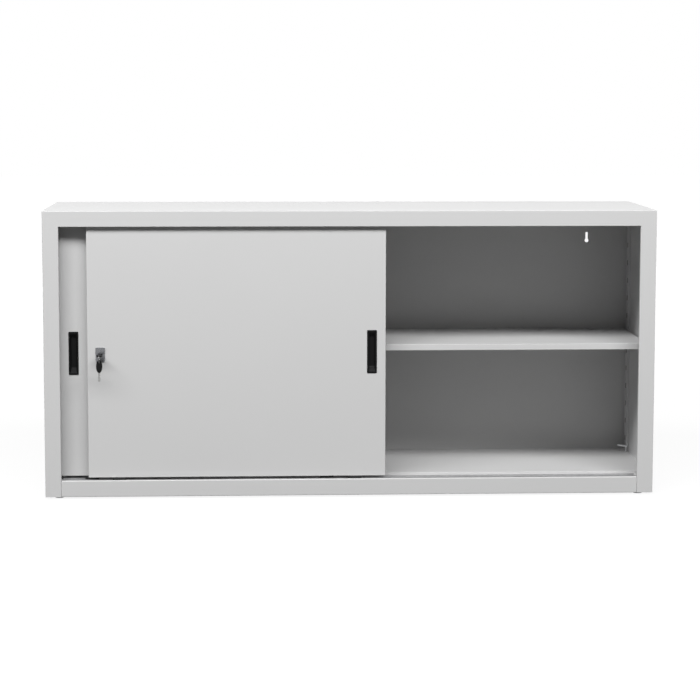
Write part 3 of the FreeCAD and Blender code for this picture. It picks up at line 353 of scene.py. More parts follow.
def facing(direction, level=None):
    """Test for faces that look along a direction, at a level along it if one is given."""
    def test(face):
        if face.normal.dot(direction) < SAME_WAY:
            return False
        return level is None or abs(face.calc_center_median().dot(direction) - level) < CLOSE
    return test


def bounding(direction, level):
    """Test for edges around the flat face that looks along a direction at a level along it."""
    looks = facing(direction, level)
    return lambda edge: sum(looks(face) for face in edge.link_faces) == 1


def running(direction, keep=None):
    """Test for edges that run along a direction and whose middle passes keep."""
    def test(edge):
        run = edge.verts[1].co - edge.verts[0].co
        if run.length < CLOSE or abs(run.normalized().dot(direction)) < SAME_WAY:
            return False
        return keep is None or keep((edge.verts[0].co + edge.verts[1].co) / 2)
    return test


def both_ends(keep):
    """Test for edges whose two ends pass keep."""
    return lambda edge: all(keep(corner.co) for corner in edge.verts)


def extrude(x, y, z):
    bpy.ops.mesh.extrude_region_move(TRANSFORM_OT_translate={"value": (x, y, z)})


def stretch(x, y, z, middle):
    bpy.ops.transform.resize(value=(x, y, z), center_override=middle)


def bevel(radius, segments=5, affect="EDGES"):
    bpy.ops.mesh.bevel(offset=radius, segments=segments, affect=affect)


def apply_modifier(piece, kind, **settings):
    make_active(piece)
    modifier = piece.modifiers.new(kind, kind)
    for name, value in settings.items():
        setattr(modifier, name, value)
    bpy.ops.object.modifier_apply(modifier=modifier.name)


def soften(piece, radius, segments=2):
    """Round all sharp edges a little."""
    apply_modifier(piece, "BEVEL", width=radius, segments=segments, limit_method="ANGLE",
                   angle_limit=SHARP_ABOVE)


def thicken(piece, gauge):
    """Give folded sheet its thickness, half to each side."""
    apply_modifier(piece, "SOLIDIFY", thickness=gauge, offset=0, use_even_offset=True)


def combine(piece, other, operation):
    """Unite the piece with another closed shape, or cut that out of it, and remove the other."""
    apply_modifier(piece, "BOOLEAN", operation=operation, object=other, solver="EXACT")
    bpy.data.objects.remove(other)


def cut_out(piece, tool):
    combine(piece, tool, "DIFFERENCE")


def open_bore(axis, width):
    """In edit mode, turn a disc into a ring by a bore inset from its rim by width."""
    pick("FACE", lambda face: abs(face.normal.dot(axis)) > SAME_WAY)
    bpy.ops.mesh.inset(thickness=width, use_individual=True)
    bpy.ops.mesh.bridge_edge_loops()


def sink_face(direction, border, depth):
    """In edit mode, sink the face that looks along a direction, inside a border.

    A negative depth raises it.
    """
    pick("FACE", facing(direction))
    bpy.ops.mesh.inset(thickness=border)
    extrude(*(direction * -depth))


def slice_across(levels):
    """In edit mode, cut edge loops around the whole piece at levels along +Y."""
    for level in levels:
        bpy.ops.mesh.select_all(action="SELECT")
        bpy.ops.mesh.bisect(plane_co=(0, level, 0), plane_no=BACK)


def joined(name, parts):
    """Join parts into the first one, under a new name."""
    bpy.ops.object.select_all(action="DESELECT")
    for part in parts:
        part.select_set(True)
    bpy.context.view_layer.objects.active = parts[0]
    if len(parts) > 1:
        bpy.ops.object.join()
    parts[0].name = name
    parts[0].data.name = name
    return parts[0]


def copied(pattern, places, turn=(0, 0, 0)):
    """Copies of a pattern modelled at the origin, each with its own mesh."""
    copies = []
    for place in places:
        make_active(pattern)
        bpy.ops.object.duplicate(linked=False)
        copy = bpy.context.object
        copy.location = place
        copy.rotation_euler = turn
        bpy.ops.object.transform_apply(location=True, rotation=True, scale=True)
        copies.append(copy)
    return copies


def stand_for(piece, node):
    """Finish a piece and let it stand for a node of the frame, on the node's body."""
    make_active(piece)
    bpy.ops.object.shade_smooth_by_angle(angle=SMOOTH_BELOW)
    apply_modifier(piece, "WEIGHTED_NORMAL", keep_sharp=True)      # flat faces shade flat
    slot = SLOT_OF[node]
    piece.data.materials.clear()
    piece.data.materials.append(finish_of(slot))
    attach(piece, BODY_OF[node])
    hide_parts(node)


def stand_copies(name, node, pattern, places, turn=(0, 0, 0)):
    """Copies of a pattern, joined into one piece that stands for a node."""
    stand_for(joined(name, copied(pattern, places, turn)), node)


def middle_of(node):
    low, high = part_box(node)
    return (low + high) / 2


def front_of(node):
    """Middle of the front of a node's box."""
    middle = middle_of(node)
    return Vector((middle.x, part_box(node)[0].y, middle.z))


# ---------------------------------------------------------------- finishes

def add_node(tree, kind, inputs=None, **settings):
    """Add a shader node with its settings, its socket values and its links."""
    made = tree.nodes.new(kind)
    for name, value in settings.items():
        setattr(made, name, value)
    for socket, value in (inputs or {}).items():
        if isinstance(value, bpy.types.NodeSocket):
            tree.links.new(value, made.inputs[socket])
        else:
            made.inputs[socket].default_value = value
    return made


def new_finish(name):
    """The empty node tree of a new material, and its Object coordinates."""
    material = bpy.data.materials.new(name)
    material.use_nodes = True
    tree = material.node_tree
    tree.nodes.clear()
    place = add_node(tree, "ShaderNodeTexCoord").outputs["Object"]
    return tree, place


def per_metre(millimetres):
    """Scale of a texture whose features are this far apart."""
    return 1 / (millimetres * MM)


def shade(tonal, factor):
    """A colour made darker or lighter by a factor."""
    return tuple(min(1.0, share * factor) for share in tonal[:3]) + (1.0,)


def finish_surface(tree, base, grain, relief, rough, metallic=0.0, spread=0.06, **constants):
    """Principled surface whose roughness and bump follow a grain.

    grain is a texture's output, relief the bump's height in metres, rough the middle
    roughness and spread how far the grain moves it.
    """
    roughness = add_node(tree, "ShaderNodeMapRange", {
        "Value": grain, "To Min": rough - spread, "To Max": rough + spread,
    })
    bump = add_node(tree, "ShaderNodeBump", {
        "Strength": 1.0, "Distance": relief, "Height": grain,
    })
    inputs = {
        "Base Color": base,
        "Roughness": roughness.outputs["Result"],
        "Normal": bump.outputs["Normal"],
        "Metallic": metallic,
    }
    inputs.update({name.replace("_", " "): value for name, value in constants.items()})
    surface = add_node(tree, "ShaderNodeBsdfPrincipled", inputs)
    add_node(tree, "ShaderNodeOutputMaterial", {"Surface": surface.outputs["BSDF"]})


def toned(tree, tonal, pattern, depth):
    """The colour, varied by a pattern between darker and lighter by depth."""
    return add_node(tree, "ShaderNodeMix", {
        "Factor": pattern,
        "A": shade(tonal, 1 - depth),
        "B": shade(tonal, 1 + depth),
    }, data_type="RGBA").outputs["Result"]


def clouded(tree, place, tonal, spacing, depth):
    """The colour, darker and lighter by depth in soft clouds this many millimetres apart."""
    clouds = add_node(tree, "ShaderNodeTexNoise", {"Vector": place, "Scale": per_metre(spacing)})
    return toned(tree, tonal, clouds.outputs["Fac"], depth)


def grained_finish(name, tonal, clouds, depth, grain, relief, lines=None, **surface):
    """A clouded colour under a fine grain that moves roughness and bump.

    clouds and grain are spacings and relief is a height, all in millimetres. depth is how far
    the clouds change the colour. lines, where given, scales the grain along each axis: a
    small share draws it out into lines along that axis.
    """
    tree, place = new_finish(name)
    base = clouded(tree, place, tonal, clouds, depth)
    if lines:
        place = add_node(tree, "ShaderNodeMapping", {
            "Vector": place, "Scale": lines,
        }).outputs["Vector"]
    fine = add_node(tree, "ShaderNodeTexNoise", {"Vector": place, "Scale": per_metre(grain)})
    finish_surface(tree, base, fine.outputs["Fac"], relief * MM, **surface)


def inside_channel(tree, place):
    """Mask of painted shade: 1 on what lies inside the shelf uprights' channels and on their punched
    edges, else 0.
    """
    skin = 0.05 * MM         # leaves out the channel's own face and the top panel
    wall = 0.5 * MM          # half a sheet: takes in the side panel's inner surface only
    along = add_node(tree, "ShaderNodeSeparateXYZ", {"Vector": place}).outputs
    away = add_node(tree, "ShaderNodeMath", {0: along["X"]}, operation="ABSOLUTE")
    channels = 0.0
    for node in ("upright_front_right", "upright_back_right"):
        low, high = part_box(node)
        within = 1.0
        for value, start, end in (
            (away.outputs["Value"], low.x + skin, high.x + wall),
            (along["Y"], low.y + wall, high.y - wall),
            (along["Z"], low.z, high.z - skin),
        ):
            near = add_node(tree, "ShaderNodeMath", {
                0: value, 1: (start + end) / 2, 2: (end - start) / 2,
            }, operation="COMPARE").outputs["Value"]
            within = add_node(tree, "ShaderNodeMath", {0: near, 1: within},
                              operation="MULTIPLY").outputs["Value"]
        channels = add_node(tree, "ShaderNodeMath", {0: within, 1: channels},
                            operation="ADD").outputs["Value"]
    return channels


def powder_coated_steel(name, tonal):
    """Baked polyester powder: even colour, semi-matt, with a fine orange peel.

    The inside of the shelf uprights' narrow channels and their punched edges get painted shade: the
    colour there is darkened to a fifth.
    """
    clouds = 350
    orange_peel = 2.4        # real peel is 1 to 2 mm apart, drawn a little coarser so it shows
    channel_shade = 0.2               # share of the colour left inside the channels, as painted shade
    tree, place = new_finish(name)
    peel = add_node(tree, "ShaderNodeTexNoise", {
        "Vector": place, "Scale": per_metre(orange_peel), "Detail": 3.0,
    }).outputs["Fac"]
    # painted shade inside the uprights' channels and on their punched edges
    coat = add_node(tree, "ShaderNodeMix", {
        "Factor": inside_channel(tree, place),
        "A": clouded(tree, place, tonal, clouds, 0.012),
        "B": shade(tonal, channel_shade),
    }, data_type="RGBA").outputs["Result"]
    finish_surface(tree, coat, peel, 0.03 * MM, rough=0.32, spread=0.05, IOR=1.45,
                   Specular_IOR_Level=0.3)


def bright_zinc_plating(name, tonal):
    """Passivated zinc on bent strip: bright and slightly blue, with faint drawing marks."""
    grained_finish(name, tonal, clouds=6, depth=0.07, grain=0.7, relief=0.006,
                   lines=(1, 1, 0.08), rough=0.45, metallic=0.75)


def galvanised_sheet(name, tonal):
    """Hot dipped sheet: dull grey, slightly patchy with its zinc crystals."""
    crystals = 9             # millimetres apart
    tree, place = new_finish(name)
    pattern = add_node(tree, "ShaderNodeTexVoronoi", {
        "Vector": place, "Scale": per_metre(crystals),
    }).outputs["Distance"]
    finish_surface(tree, toned(tree, tonal, pattern, 0.08), pattern, 0.01 * MM, rough=0.45,
                   metallic=0.7, spread=0.08)


def satin_chrome(name, tonal):
    """Chrome on die cast zinc: bright, softened by a very fine blasted grain."""
    grained_finish(name, tonal, clouds=9, depth=0.05, grain=0.4, relief=0.004, rough=0.27,
                   metallic=1.0)


def nickel_plated_brass(name, tonal):
    """Stamped blade and ring wire: warm silver with lengthwise polishing lines."""
    grained_finish(name, tonal, clouds=5, depth=0.06, grain=0.3, relief=0.004,
                   lines=(1, 0.06, 0.06), rough=0.28, metallic=1.0)


def moulded_plastic(name, tonal, grit, relief, rough, **constants):
    """Injection moulding whose tool was spark eroded: matt with a fine even grit."""
    grained_finish(name, tonal, clouds=20, depth=0.1, grain=grit, relief=relief, rough=rough,
                   **constants)


def moulded_abs(name, tonal):
    """Deeply textured black pulls: the grit swallows most of the gloss."""
    moulded_plastic(name, tonal, grit=0.6, relief=0.012, rough=0.5, Specular_IOR_Level=0.12)


def moulded_key_nylon(name, tonal):
    """Near black key heads with a little more sheen than the pulls."""
    moulded_plastic(name, tonal, grit=0.5, relief=0.01, rough=0.45, Specular_IOR_Level=0.15)


def moulded_polyethylene(name, tonal):
    """Soft dark grey foot glides with a dull, waxy sheen."""
    moulded_plastic(name, tonal, grit=1.2, relief=0.015, rough=0.55)


def moulded_white_nylon(name, tonal):
    """Off-white rollers with a low, even sheen."""
    moulded_plastic(name, tonal, grit=1.5, relief=0.008, rough=0.36)


def moulded_acetal(name, tonal):
    """Dense black guide shoes, smoother than the other mouldings."""
    moulded_plastic(name, tonal, grit=1.0, relief=0.006, rough=0.4)


def moulded_rubber(name, tonal):
    """Dark door stops with almost no gloss."""
    moulded_plastic(name, tonal, grit=0.9, relief=0.02, rough=0.8)


FINISHES = {             # for each material slot, what makes its finish and the colour's name
    "light_grey_paint": (powder_coated_steel, "paint"),
    "zinc_plated_steel": (bright_zinc_plating, "zinc"),
    "galvanised_steel": (galvanised_sheet, "galvanised"),
    "chromed_zinc": (satin_chrome, "chrome"),
    "nickel_silver": (nickel_plated_brass, "nickel"),
    "black_plastic": (moulded_abs, "pull"),
    "black_key_plastic": (moulded_key_nylon, "key"),
    "black_foot_plastic": (moulded_polyethylene, "foot"),
    "white_nylon": (moulded_white_nylon, "nylon"),
    "black_guide_plastic": (moulded_acetal, "acetal"),
    "stop_rubber": (moulded_rubber, "rubber"),
}


def finish_of(slot):
    """The material of a slot, which is named for the function that makes it."""
    return bpy.data.materials[FINISHES[slot][0].__name__]


class CABINET_OT_finishes(bpy.types.Operator):
    """Make the finishes and give them to the frame's nodes"""

    bl_idname = "cabinet.finishes"
    bl_label = "Finishes"

    def execute(self, context):
        for make, tonal in FINISHES.values():
            make(make.__name__, tuple(getattr(context.scene.cabinet_finishes, tonal)))
        for node, slot in SLOT_OF.items():
            for place in frame["nodes"][node].material_slots:
                place.material = finish_of(slot)
        return {"FINISHED"}


# ---------------------------------------------------------------- sill

class CABINET_OT_sill(bpy.types.Operator):
    """Fold the sill between the stiles, with its two seams"""

    bl_idname = "cabinet.sill"
    bl_label = "Sill"

    def execute(self, context):
        sheet = context.scene.cabinet_sheet
        low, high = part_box("bottom_rail")
        half = sheet.gauge / 2
        front = low.y + half
        top = high.z - half
        base = low.z + half
        rear = low.y + sheet.lip - half
        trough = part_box("bottom_track")[0].z
        sill = start_sheet("sill", (low.x + sheet.seam, front, base),
                           (high.x - sheet.seam, front, top))
        with editing(sill):
            pick("EDGE", both_ends(lambda at: abs(at.z - top) < CLOSE))
            extrude(0, rear - front, 0)
            extrude(0, 0, trough - top)
            pick("EDGE", both_ends(lambda at: abs(at.z - base) < CLOSE))
            extrude(0, high.y - front, 0)
            folds = ((front, top), (rear, top), (front, base))
            pick("EDGE", running(RIGHT, lambda at: any(
                abs(at.y - y) < CLOSE and abs(at.z - z) < CLOSE for y, z in folds)))
            bevel(sheet.fold - half)
        thicken(sill, sheet.gauge)
        soften(sill, sheet.burr)
        stand_for(sill, "bottom_rail")
        return {"FINISHED"}


# ---------------------------------------------------------------- pulls

def model_pull(name, node, sizes):
    """Rim on the door's face, a cup behind it and a pocket with sloped ends."""
    low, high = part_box(node)
    middle = (low + high) / 2
    face = low.y + sizes.rim
    around = Vector((sizes.rim_width, 0, sizes.rim_width))
    pull = start_block(name, low, (high.x, face, high.z))
    cup = start_block("cup", low + around + BACK * (sizes.rim / 2), high - around)
    for block, radius in ((pull, sizes.corner), (cup, sizes.wall)):
        with editing(block):
            pick("EDGE", running(BACK))
            bevel(radius, segments=6)
    combine(pull, cup, "UNION")
    mouth = middle - low - around - Vector((sizes.wall, 0, sizes.wall))
    floor = high.y - sizes.wall
    pocket = start_block("pocket", (middle.x - mouth.x, low.y - PAST, middle.z - mouth.z),
                         (middle.x + mouth.x, floor, middle.z + mouth.z))
    with editing(pocket):
        pick("FACE", facing(BACK))
        stretch(1 - sizes.draft / mouth.x, 1, 1 - sizes.scoop / mouth.z, middle)
        pick("EDGE", lambda edge: any(end.co.y > floor - CLOSE for end in edge.verts))
        bevel(sizes.hollow)
    cut_out(pull, pocket)
    with editing(pull):
        pick("EDGE", bounding(-BACK, -low.y))
        bevel(sizes.lip, segments=3)
    stand_for(pull, node)


class CABINET_OT_pulls(bpy.types.Operator):
    """Model the recessed pulls of both doors"""

    bl_idname = "cabinet.pulls"
    bl_label = "Pulls"

    def execute(self, context):
        for door in DOORS:
            model_pull(door + "_recessed_pull", door + "_pull", context.scene.cabinet_pull)
        return {"FINISHED"}


# ---------------------------------------------------------------- lock

class CABINET_OT_lock(bpy.types.Operator):
    """Model the lock's case, nut and plug"""

    bl_idname = "cabinet.lock"
    bl_label = "Lock"

    def execute(self, context):
        sizes = context.scene.cabinet_lock
        self.model_case(sizes)
        self.model_nut(sizes)
        self.model_plug(sizes)
        return {"FINISHED"}

    def model_case(self, sizes):
        """Plate with a raised border, and the barrel with its round nose."""
        low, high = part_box("lock_body")
        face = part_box("front_door_panel")[0].y
        plate_front = face - sizes.plate
        sink = sizes.border / 3
        edge = sizes.border / 5
        nose = sizes.border / 3
        plate = start_block("plate", (low.x, plate_front, low.z), (high.x, face, high.z))
        with editing(plate):
            pick("EDGE", running(BACK))
            bevel(sizes.corner)
            sink_face(-BACK, sizes.border, sink)
        soften(plate, edge, segments=3)
        barrel = start_disc("barrel", BACK, front_of("lock_body"), sizes.barrel, high.y - low.y)
        with editing(barrel):
            open_bore(BACK, (sizes.barrel - sizes.plug) / 2)
        soften(barrel, nose, segments=4)
        stand_for(joined("lock_case", [plate, barrel]), "lock_body")

    def model_nut(self, sizes):
        """Hexagon nut with rounded edges, its flats as wide apart as its box is narrow."""
        low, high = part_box("lock_nut")
        middle = (low + high) / 2
        start = front_of("lock_nut")
        flats = min(high.x - low.x, high.z - low.z)
        half_side = math.pi / 6          # half the angle that one side takes
        edge = sizes.border / 4
        nut = start_disc("lock_hexagon_nut", BACK, start, flats / math.cos(half_side),
                         high.y - low.y, corners=6)
        made_wide = nut.dimensions.x > nut.dimensions.z
        if made_wide != (high.x - low.x > high.z - low.z):
            nut.rotation_euler.y = half_side
            nut.location = middle - Matrix.Rotation(half_side, 3, "Y") @ middle
            make_active(nut)
            settle("lock_hexagon_nut")
        cut_out(nut, start_disc("bore", BACK, start - BACK * PAST, sizes.barrel,
                                high.y - low.y + 2 * PAST))
        soften(nut, edge)
        stand_for(nut, "lock_nut")

    def model_plug(self, sizes):
        """Turning plug with a raised rim and a keyway."""
        low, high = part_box("lock_plug")
        start = front_of("lock_plug")
        sink = sizes.border / 4
        edge = sizes.border / 8
        plug = start_disc("lock_turning_plug", BACK, start, sizes.plug, high.y - low.y)
        with editing(plug):
            sink_face(-BACK, sizes.border, sink)
        half = Vector((sizes.keyway_width, 0, sizes.keyway_height)) / 2
        blade_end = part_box("key_blade")[1].y
        keyway = start_block("keyway", start - half - BACK * PAST,
                             Vector((start.x, blade_end, start.z)) + half)
        cut_out(plug, keyway)
        soften(plug, edge)
        stand_for(plug, "lock_plug")


# ---------------------------------------------------------------- keys

def model_key_head(sizes):
    """Oval head from its free end at the origin along +Y, flat in Z."""
    middle = BACK * (sizes.head_length / 2)
    half = sizes.head_thickness / 2
    sink = half / 4
    edge = half / 5
    head = start_disc("head", UP, middle - UP * half, sizes.head_width, sizes.head_thickness)
    with editing(head):
        bpy.ops.mesh.select_all(action="SELECT")
        stretch(1, sizes.head_length / sizes.head_width, 1, middle)
        for side in (UP, -UP):
            sink_face(side, half, sink)
    below = Vector((0, sizes.bridge + sizes.hole / 2, -sizes.head_thickness))
    cut_out(head, start_disc("hole", UP, below, sizes.hole, sizes.head_thickness * 2,
                             corners=40))
    soften(head, edge)
    return head


def model_key_blade(sizes):
    """Blade from the head's end along +Y, with cuts on one side and a groove on each face."""
    half = Vector((sizes.blade_width, 0, sizes.blade_thickness)) / 2
    start = sizes.head_length
    end = start + sizes.blade_length
    root = start - sizes.tang
    blade = start_block("blade", (-half.x, root, -half.z), (half.x, end, half.z))
    shoulder = sizes.blade_length / 5                # plain stretch before the first cut
    pitch = (sizes.blade_length - shoulder) / (sizes.cuts * 2)
    levels = [start + shoulder + pitch * number for number in range(sizes.cuts * 2)]
    shallowest = 0.25        # of half the blade's width
    deeper = 0.2
    with editing(blade):
        slice_across(levels)
        for number, level in enumerate(levels[1::2]):
            depth = half.x * (shallowest + deeper * (number * 2 % 3))      # neighbours differ
            pick("VERT", lambda corner: corner.co.x > 0 and abs(corner.co.y - level) < CLOSE)
            bpy.ops.transform.translate(value=(-depth, 0, 0))
        pick("VERT", lambda corner: abs(corner.co.y - end) < CLOSE)
        narrow = 0.45        # what the blunt tip keeps of the blade's width
        thin = 0.7           # and of its thickness
        stretch(narrow, 1, thin, (-half.x / 4, end, 0))
    for side in (-1, 1):
        middle = Vector((-half.x / 3, 0, half.z * side))
        reach = Vector((half.x / 6, 0, half.z / 3))
        groove = start_block("groove", middle - reach + BACK * (start + PAST),
                             middle + reach + BACK * (end + PAST))
        cut_out(blade, groove)
    soften(blade, sizes.blade_edge)
    return blade


def model_key_ring(sizes, middle):
    """Split ring: two flat turns of wire side by side."""
    wire = sizes.ring_wire / 2
    flat = 0.47              # under a half, which leaves a line between the turns
    turns = []
    for side in (-1, 1):
        bpy.ops.object.select_all(action="DESELECT")
        start = middle + RIGHT * (side * wire / 2) + UP * sizes.ring_radius
        bpy.ops.mesh.primitive_circle_add(vertices=14, radius=wire, location=start)
        bpy.context.object.rotation_euler = (math.pi / 2, 0, 0)
        bpy.context.object.scale = (flat, 1, 1)
        turn = settle("turn")
        with editing(turn):
            bpy.ops.mesh.select_all(action="SELECT")
            # one full turn about the ring's own axis
            bpy.ops.mesh.spin(steps=96, angle=2 * math.pi, center=middle, axis=RIGHT)
            bpy.ops.mesh.select_all(action="SELECT")
            bpy.ops.mesh.remove_doubles(threshold=CLOSE / 2)
            bpy.ops.mesh.normals_make_consistent(inside=False)
        turns.append(turn)
    return joined("split_ring", turns)


class CABINET_OT_keys(bpy.types.Operator):
    """Model the key, its ring and the spare key"""

    bl_idname = "cabinet.keys"
    bl_label = "Keys"

    def execute(self, context):
        sizes = context.scene.cabinet_key
        head = model_key_head(sizes)
        blade = model_key_blade(sizes)
        low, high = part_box("spare_key_head")
        hanging = Vector(((low.x + high.x) / 2, (low.y + high.y) / 2, high.z))
        for pattern, made, part in ((head, "moulded_", "head"), (blade, "cut_", "blade")):
            for key, place, turn in (
                ("key_", front_of("key_head"), (0, 0, 0)),
                ("spare_key_", hanging, (-math.pi / 2, 0, 0)),
            ):
                stand_copies(key + made + part, key + part, pattern, [place], turn)
            bpy.data.objects.remove(pattern)
        stand_for(model_key_ring(sizes, middle_of("key_ring")), "key_ring")
        return {"FINISHED"}


# ---------------------------------------------------------------- fittings

def round_far_end(rod, axis, depth, radius, segments=5):
    """Round the edge at the far end of a rod that starts at the origin."""
    with editing(rod):
        pick("EDGE", both_ends(lambda at: abs(at.dot(axis) - depth) < CLOSE))
        bevel(radius, segments)


def start_dome(axis, diameter, height):
    """Domed head of a screw or rivet, from the origin along an axis."""
    dome = start_disc("dome", axis, (0, 0, 0), diameter, height, corners=32)
    round_far_end(dome, axis, height, height * 0.7)
    return dome


def model_screw(head, height, shank, depth, recess=True):
    """Pan head above the origin with a cross recess, and its shank below."""
    top = start_dome(UP, head, height)
    if recess:
        half = head * 0.3
        slot = head * 0.06
        floor = UP * height * 0.4
        for reach in (Vector((half, slot, 0)), Vector((slot, half, 0))):
            cut_out(top, start_block("recess", floor - reach, reach + UP * height * 2))
    rod = start_disc("rod", -UP, (0, 0, 0), shank, depth, corners=24)
    round_far_end(rod, -UP, depth, shank * 0.15, segments=2)
    return joined("screw", [top, rod])


def model_roller(sizes, diameter, width):
    """Grooved roller with dished sides on the Y axis, from the origin backwards."""
    rim = diameter * 0.07
    dish = width * 0.1
    shoulders = (width * 0.25, width * 0.75)         # the groove's upper edges
    tread = (width * 0.4, width * 0.6)               # and its floor
    keep = 1 - sizes.groove * 2 / diameter
    roller = start_disc("roller", BACK, (0, 0, 0), diameter, width)

    def on_tread(corner):
        level = any(abs(corner.co.y - edge) < CLOSE for edge in tread)
        return level and math.hypot(corner.co.x, corner.co.z) > diameter / 2 - CLOSE
    with editing(roller):
        open_bore(BACK, (diameter - sizes.bore) / 2)
        slice_across(sorted(shoulders + tread))
        pick("VERT", on_tread)
        stretch(keep, 1, keep, (0, width / 2, 0))
        for side in (BACK, -BACK):
            sink_face(side, rim, dish)
    soften(roller, sizes.roller_edge)
    return roller


def model_axle(sizes, depth):
    """Riveted axle on the Y axis: domed head before the origin, keeper at the far end."""
    head = start_dome(-BACK, sizes.axle_head, sizes.head_height)
    pin = start_disc("pin", BACK, (0, 0, 0), sizes.axle_pin, depth, corners=32)
    keeper = start_disc("keeper", BACK, BACK * (depth - sizes.keeper), sizes.axle_keeper,
                        sizes.keeper, corners=32)
    for part in (pin, keeper):
        soften(part, sizes.axle_edge)
    return joined("axle", [head, pin, keeper])


def model_hanger(sizes, depth, height):
    """Bent hanger on the origin: plate up at the front, foot to the back."""
    half = sizes.hanger_width / 2
    gauge = sizes.hanger_gauge / 2
    hanger = start_sheet("hanger", (-half, gauge, gauge), (half, gauge, height))
    with editing(hanger):
        pick("EDGE", both_ends(lambda at: at.z < gauge + CLOSE))
        extrude(0, depth - gauge, 0)
        pick("EDGE", running(RIGHT, lambda at: at.z < gauge + CLOSE and at.y < gauge + CLOSE))
        bevel(sizes.hanger_gauge)
        pick("VERT", lambda corner: corner.co.z > height - CLOSE)
        bevel(half / 3, affect="VERTICES")
    thicken(hanger, sizes.hanger_gauge)
    soften(hanger, sizes.hanger_edge)
    return hanger


class CABINET_OT_running_gear(bpy.types.Operator):
    """Model the doors' hangers, axles, rollers and their screws"""

    bl_idname = "cabinet.running_gear"
    bl_label = "Running Gear"

    def execute(self, context):
        sizes = context.scene.cabinet_fittings
        for door in DOORS:
            self.model_door(door, sizes)
        return {"FINISHED"}

    def model_door(self, door, sizes):
        rollers = [door + "_roller_left", door + "_roller_right"]
        low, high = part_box(rollers[0])
        centres = [middle_of(roller) for roller in rollers]
        roller = model_roller(sizes, high.z - low.z, high.y - low.y)
        for node in rollers:
            stand_copies(node + "_wheel", node, roller, [front_of(node)])

        low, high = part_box(door + "_hangers")
        hanger = model_hanger(sizes, high.y - low.y, high.z - low.z)
        places = [Vector((centre.x, low.y, low.z)) for centre in centres]
        stand_copies(door + "_bent_hangers", door + "_hangers", hanger, places)

        low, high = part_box(door + "_axles")
        head_back = low.y + sizes.head_height
        axle = model_axle(sizes, high.y - head_back)
        places = [Vector((centre.x, head_back, centre.z)) for centre in centres]
        stand_copies(door + "_riveted_axles", door + "_axles", axle, places)

        low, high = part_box(door + "_hanger_screws")
        reach = sizes.hanger_width / 2 - sizes.screw_head
        seat = high.z - sizes.head_height
        middle_y = (low.y + high.y) / 2
        screw = model_screw(sizes.screw_head, sizes.head_height, sizes.screw_shank,
                            sizes.screw_length)
        places = [Vector((centre.x + reach * side, middle_y, seat))
                  for centre in centres for side in (-1, 1)]
        stand_copies(door + "_pan_screws", door + "_hanger_screws", screw, places)
        for pattern in (roller, hanger, axle, screw):
            bpy.data.objects.remove(pattern)


class CABINET_OT_fasteners(bpy.types.Operator):
    """Model the track's rivets and the screws of strike and cam"""

    bl_idname = "cabinet.fasteners"
    bl_label = "Fasteners"

    def execute(self, context):
        sizes = context.scene.cabinet_fittings
        half_head = sizes.screw_head / 2
        low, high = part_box("track_rivets")
        depth = high.z - low.z - sizes.head_height
        rivet = model_screw(sizes.screw_head, sizes.head_height, sizes.screw_shank, depth,
                            recess=False)
        first = low.x + half_head
        step = (high.x - low.x - sizes.screw_head) / (sizes.rivets - 1)
        middle_y = (low.y + high.y) / 2
        places = [Vector((first + step * number, middle_y, low.z + sizes.head_height))
                  for number in range(sizes.rivets)]
        stand_copies("track_dome_rivets", "track_rivets", rivet, places, (math.pi, 0, 0))

        low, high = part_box("strike_screws")
        screw = model_screw(sizes.screw_head, sizes.head_height, sizes.screw_shank,
                            sizes.screw_length)
        middle_x = (low.x + high.x) / 2
        seat = low.y + sizes.head_height
        places = [Vector((middle_x, seat, z)) for z in (low.z + half_head, high.z - half_head)]
        stand_copies("strike_pan_screws", "strike_screws", screw, places, (math.pi / 2, 0, 0))

        low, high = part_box("cam_screw")
        seat = high.y - sizes.head_height
        cam_screw = model_screw(high.x - low.x, sizes.head_height, (high.x - low.x) / 2,
                                seat - low.y)
        place = Vector(((low.x + high.x) / 2, seat, (low.z + high.z) / 2))
        stand_copies("cam_pan_screw", "cam_screw", cam_screw, [place], (-math.pi / 2, 0, 0))
        for pattern in (rivet, screw, cam_screw):
            bpy.data.objects.remove(pattern)
        return {"FINISHED"}


def model_clip(sizes):
    """Clip at the origin for a wall on its right: ribbed ledge to the left, leg down, hook up."""
    half = (sizes.clip_width - sizes.clip_gauge) / 2
    gauge = sizes.clip_gauge
    top = -gauge / 2
    behind = sizes.clip_hook - gauge / 2
    hook = start_sheet("ledge", (behind, -half, top), (behind, half, sizes.clip_lip))
    with editing(hook):
        pick("EDGE", both_ends(lambda at: at.z < top + CLOSE))
        extrude(-behind - gauge, 0, 0)
        extrude(gauge - sizes.clip_reach, 0, 0)
        pick("EDGE", running(RIGHT, lambda at: at.x < -gauge - CLOSE))
        extrude(0, 0, -sizes.clip_rib)
        pick("EDGE", running(BACK, lambda at: at.z < top + CLOSE and at.x > behind - CLOSE))
        bevel(gauge)
    leg = start_sheet("leg", (-gauge / 2, -half, -sizes.clip_leg), (-gauge / 2, half, top))
    with editing(leg):
        pick("VERT", lambda corner: corner.co.z < -sizes.clip_leg + CLOSE)
        bevel(half / 2, segments=4, affect="VERTICES")
    for strip in (hook, leg):
        thicken(strip, gauge)
        soften(strip, sizes.clip_edge)
    return joined("clip", [hook, leg])


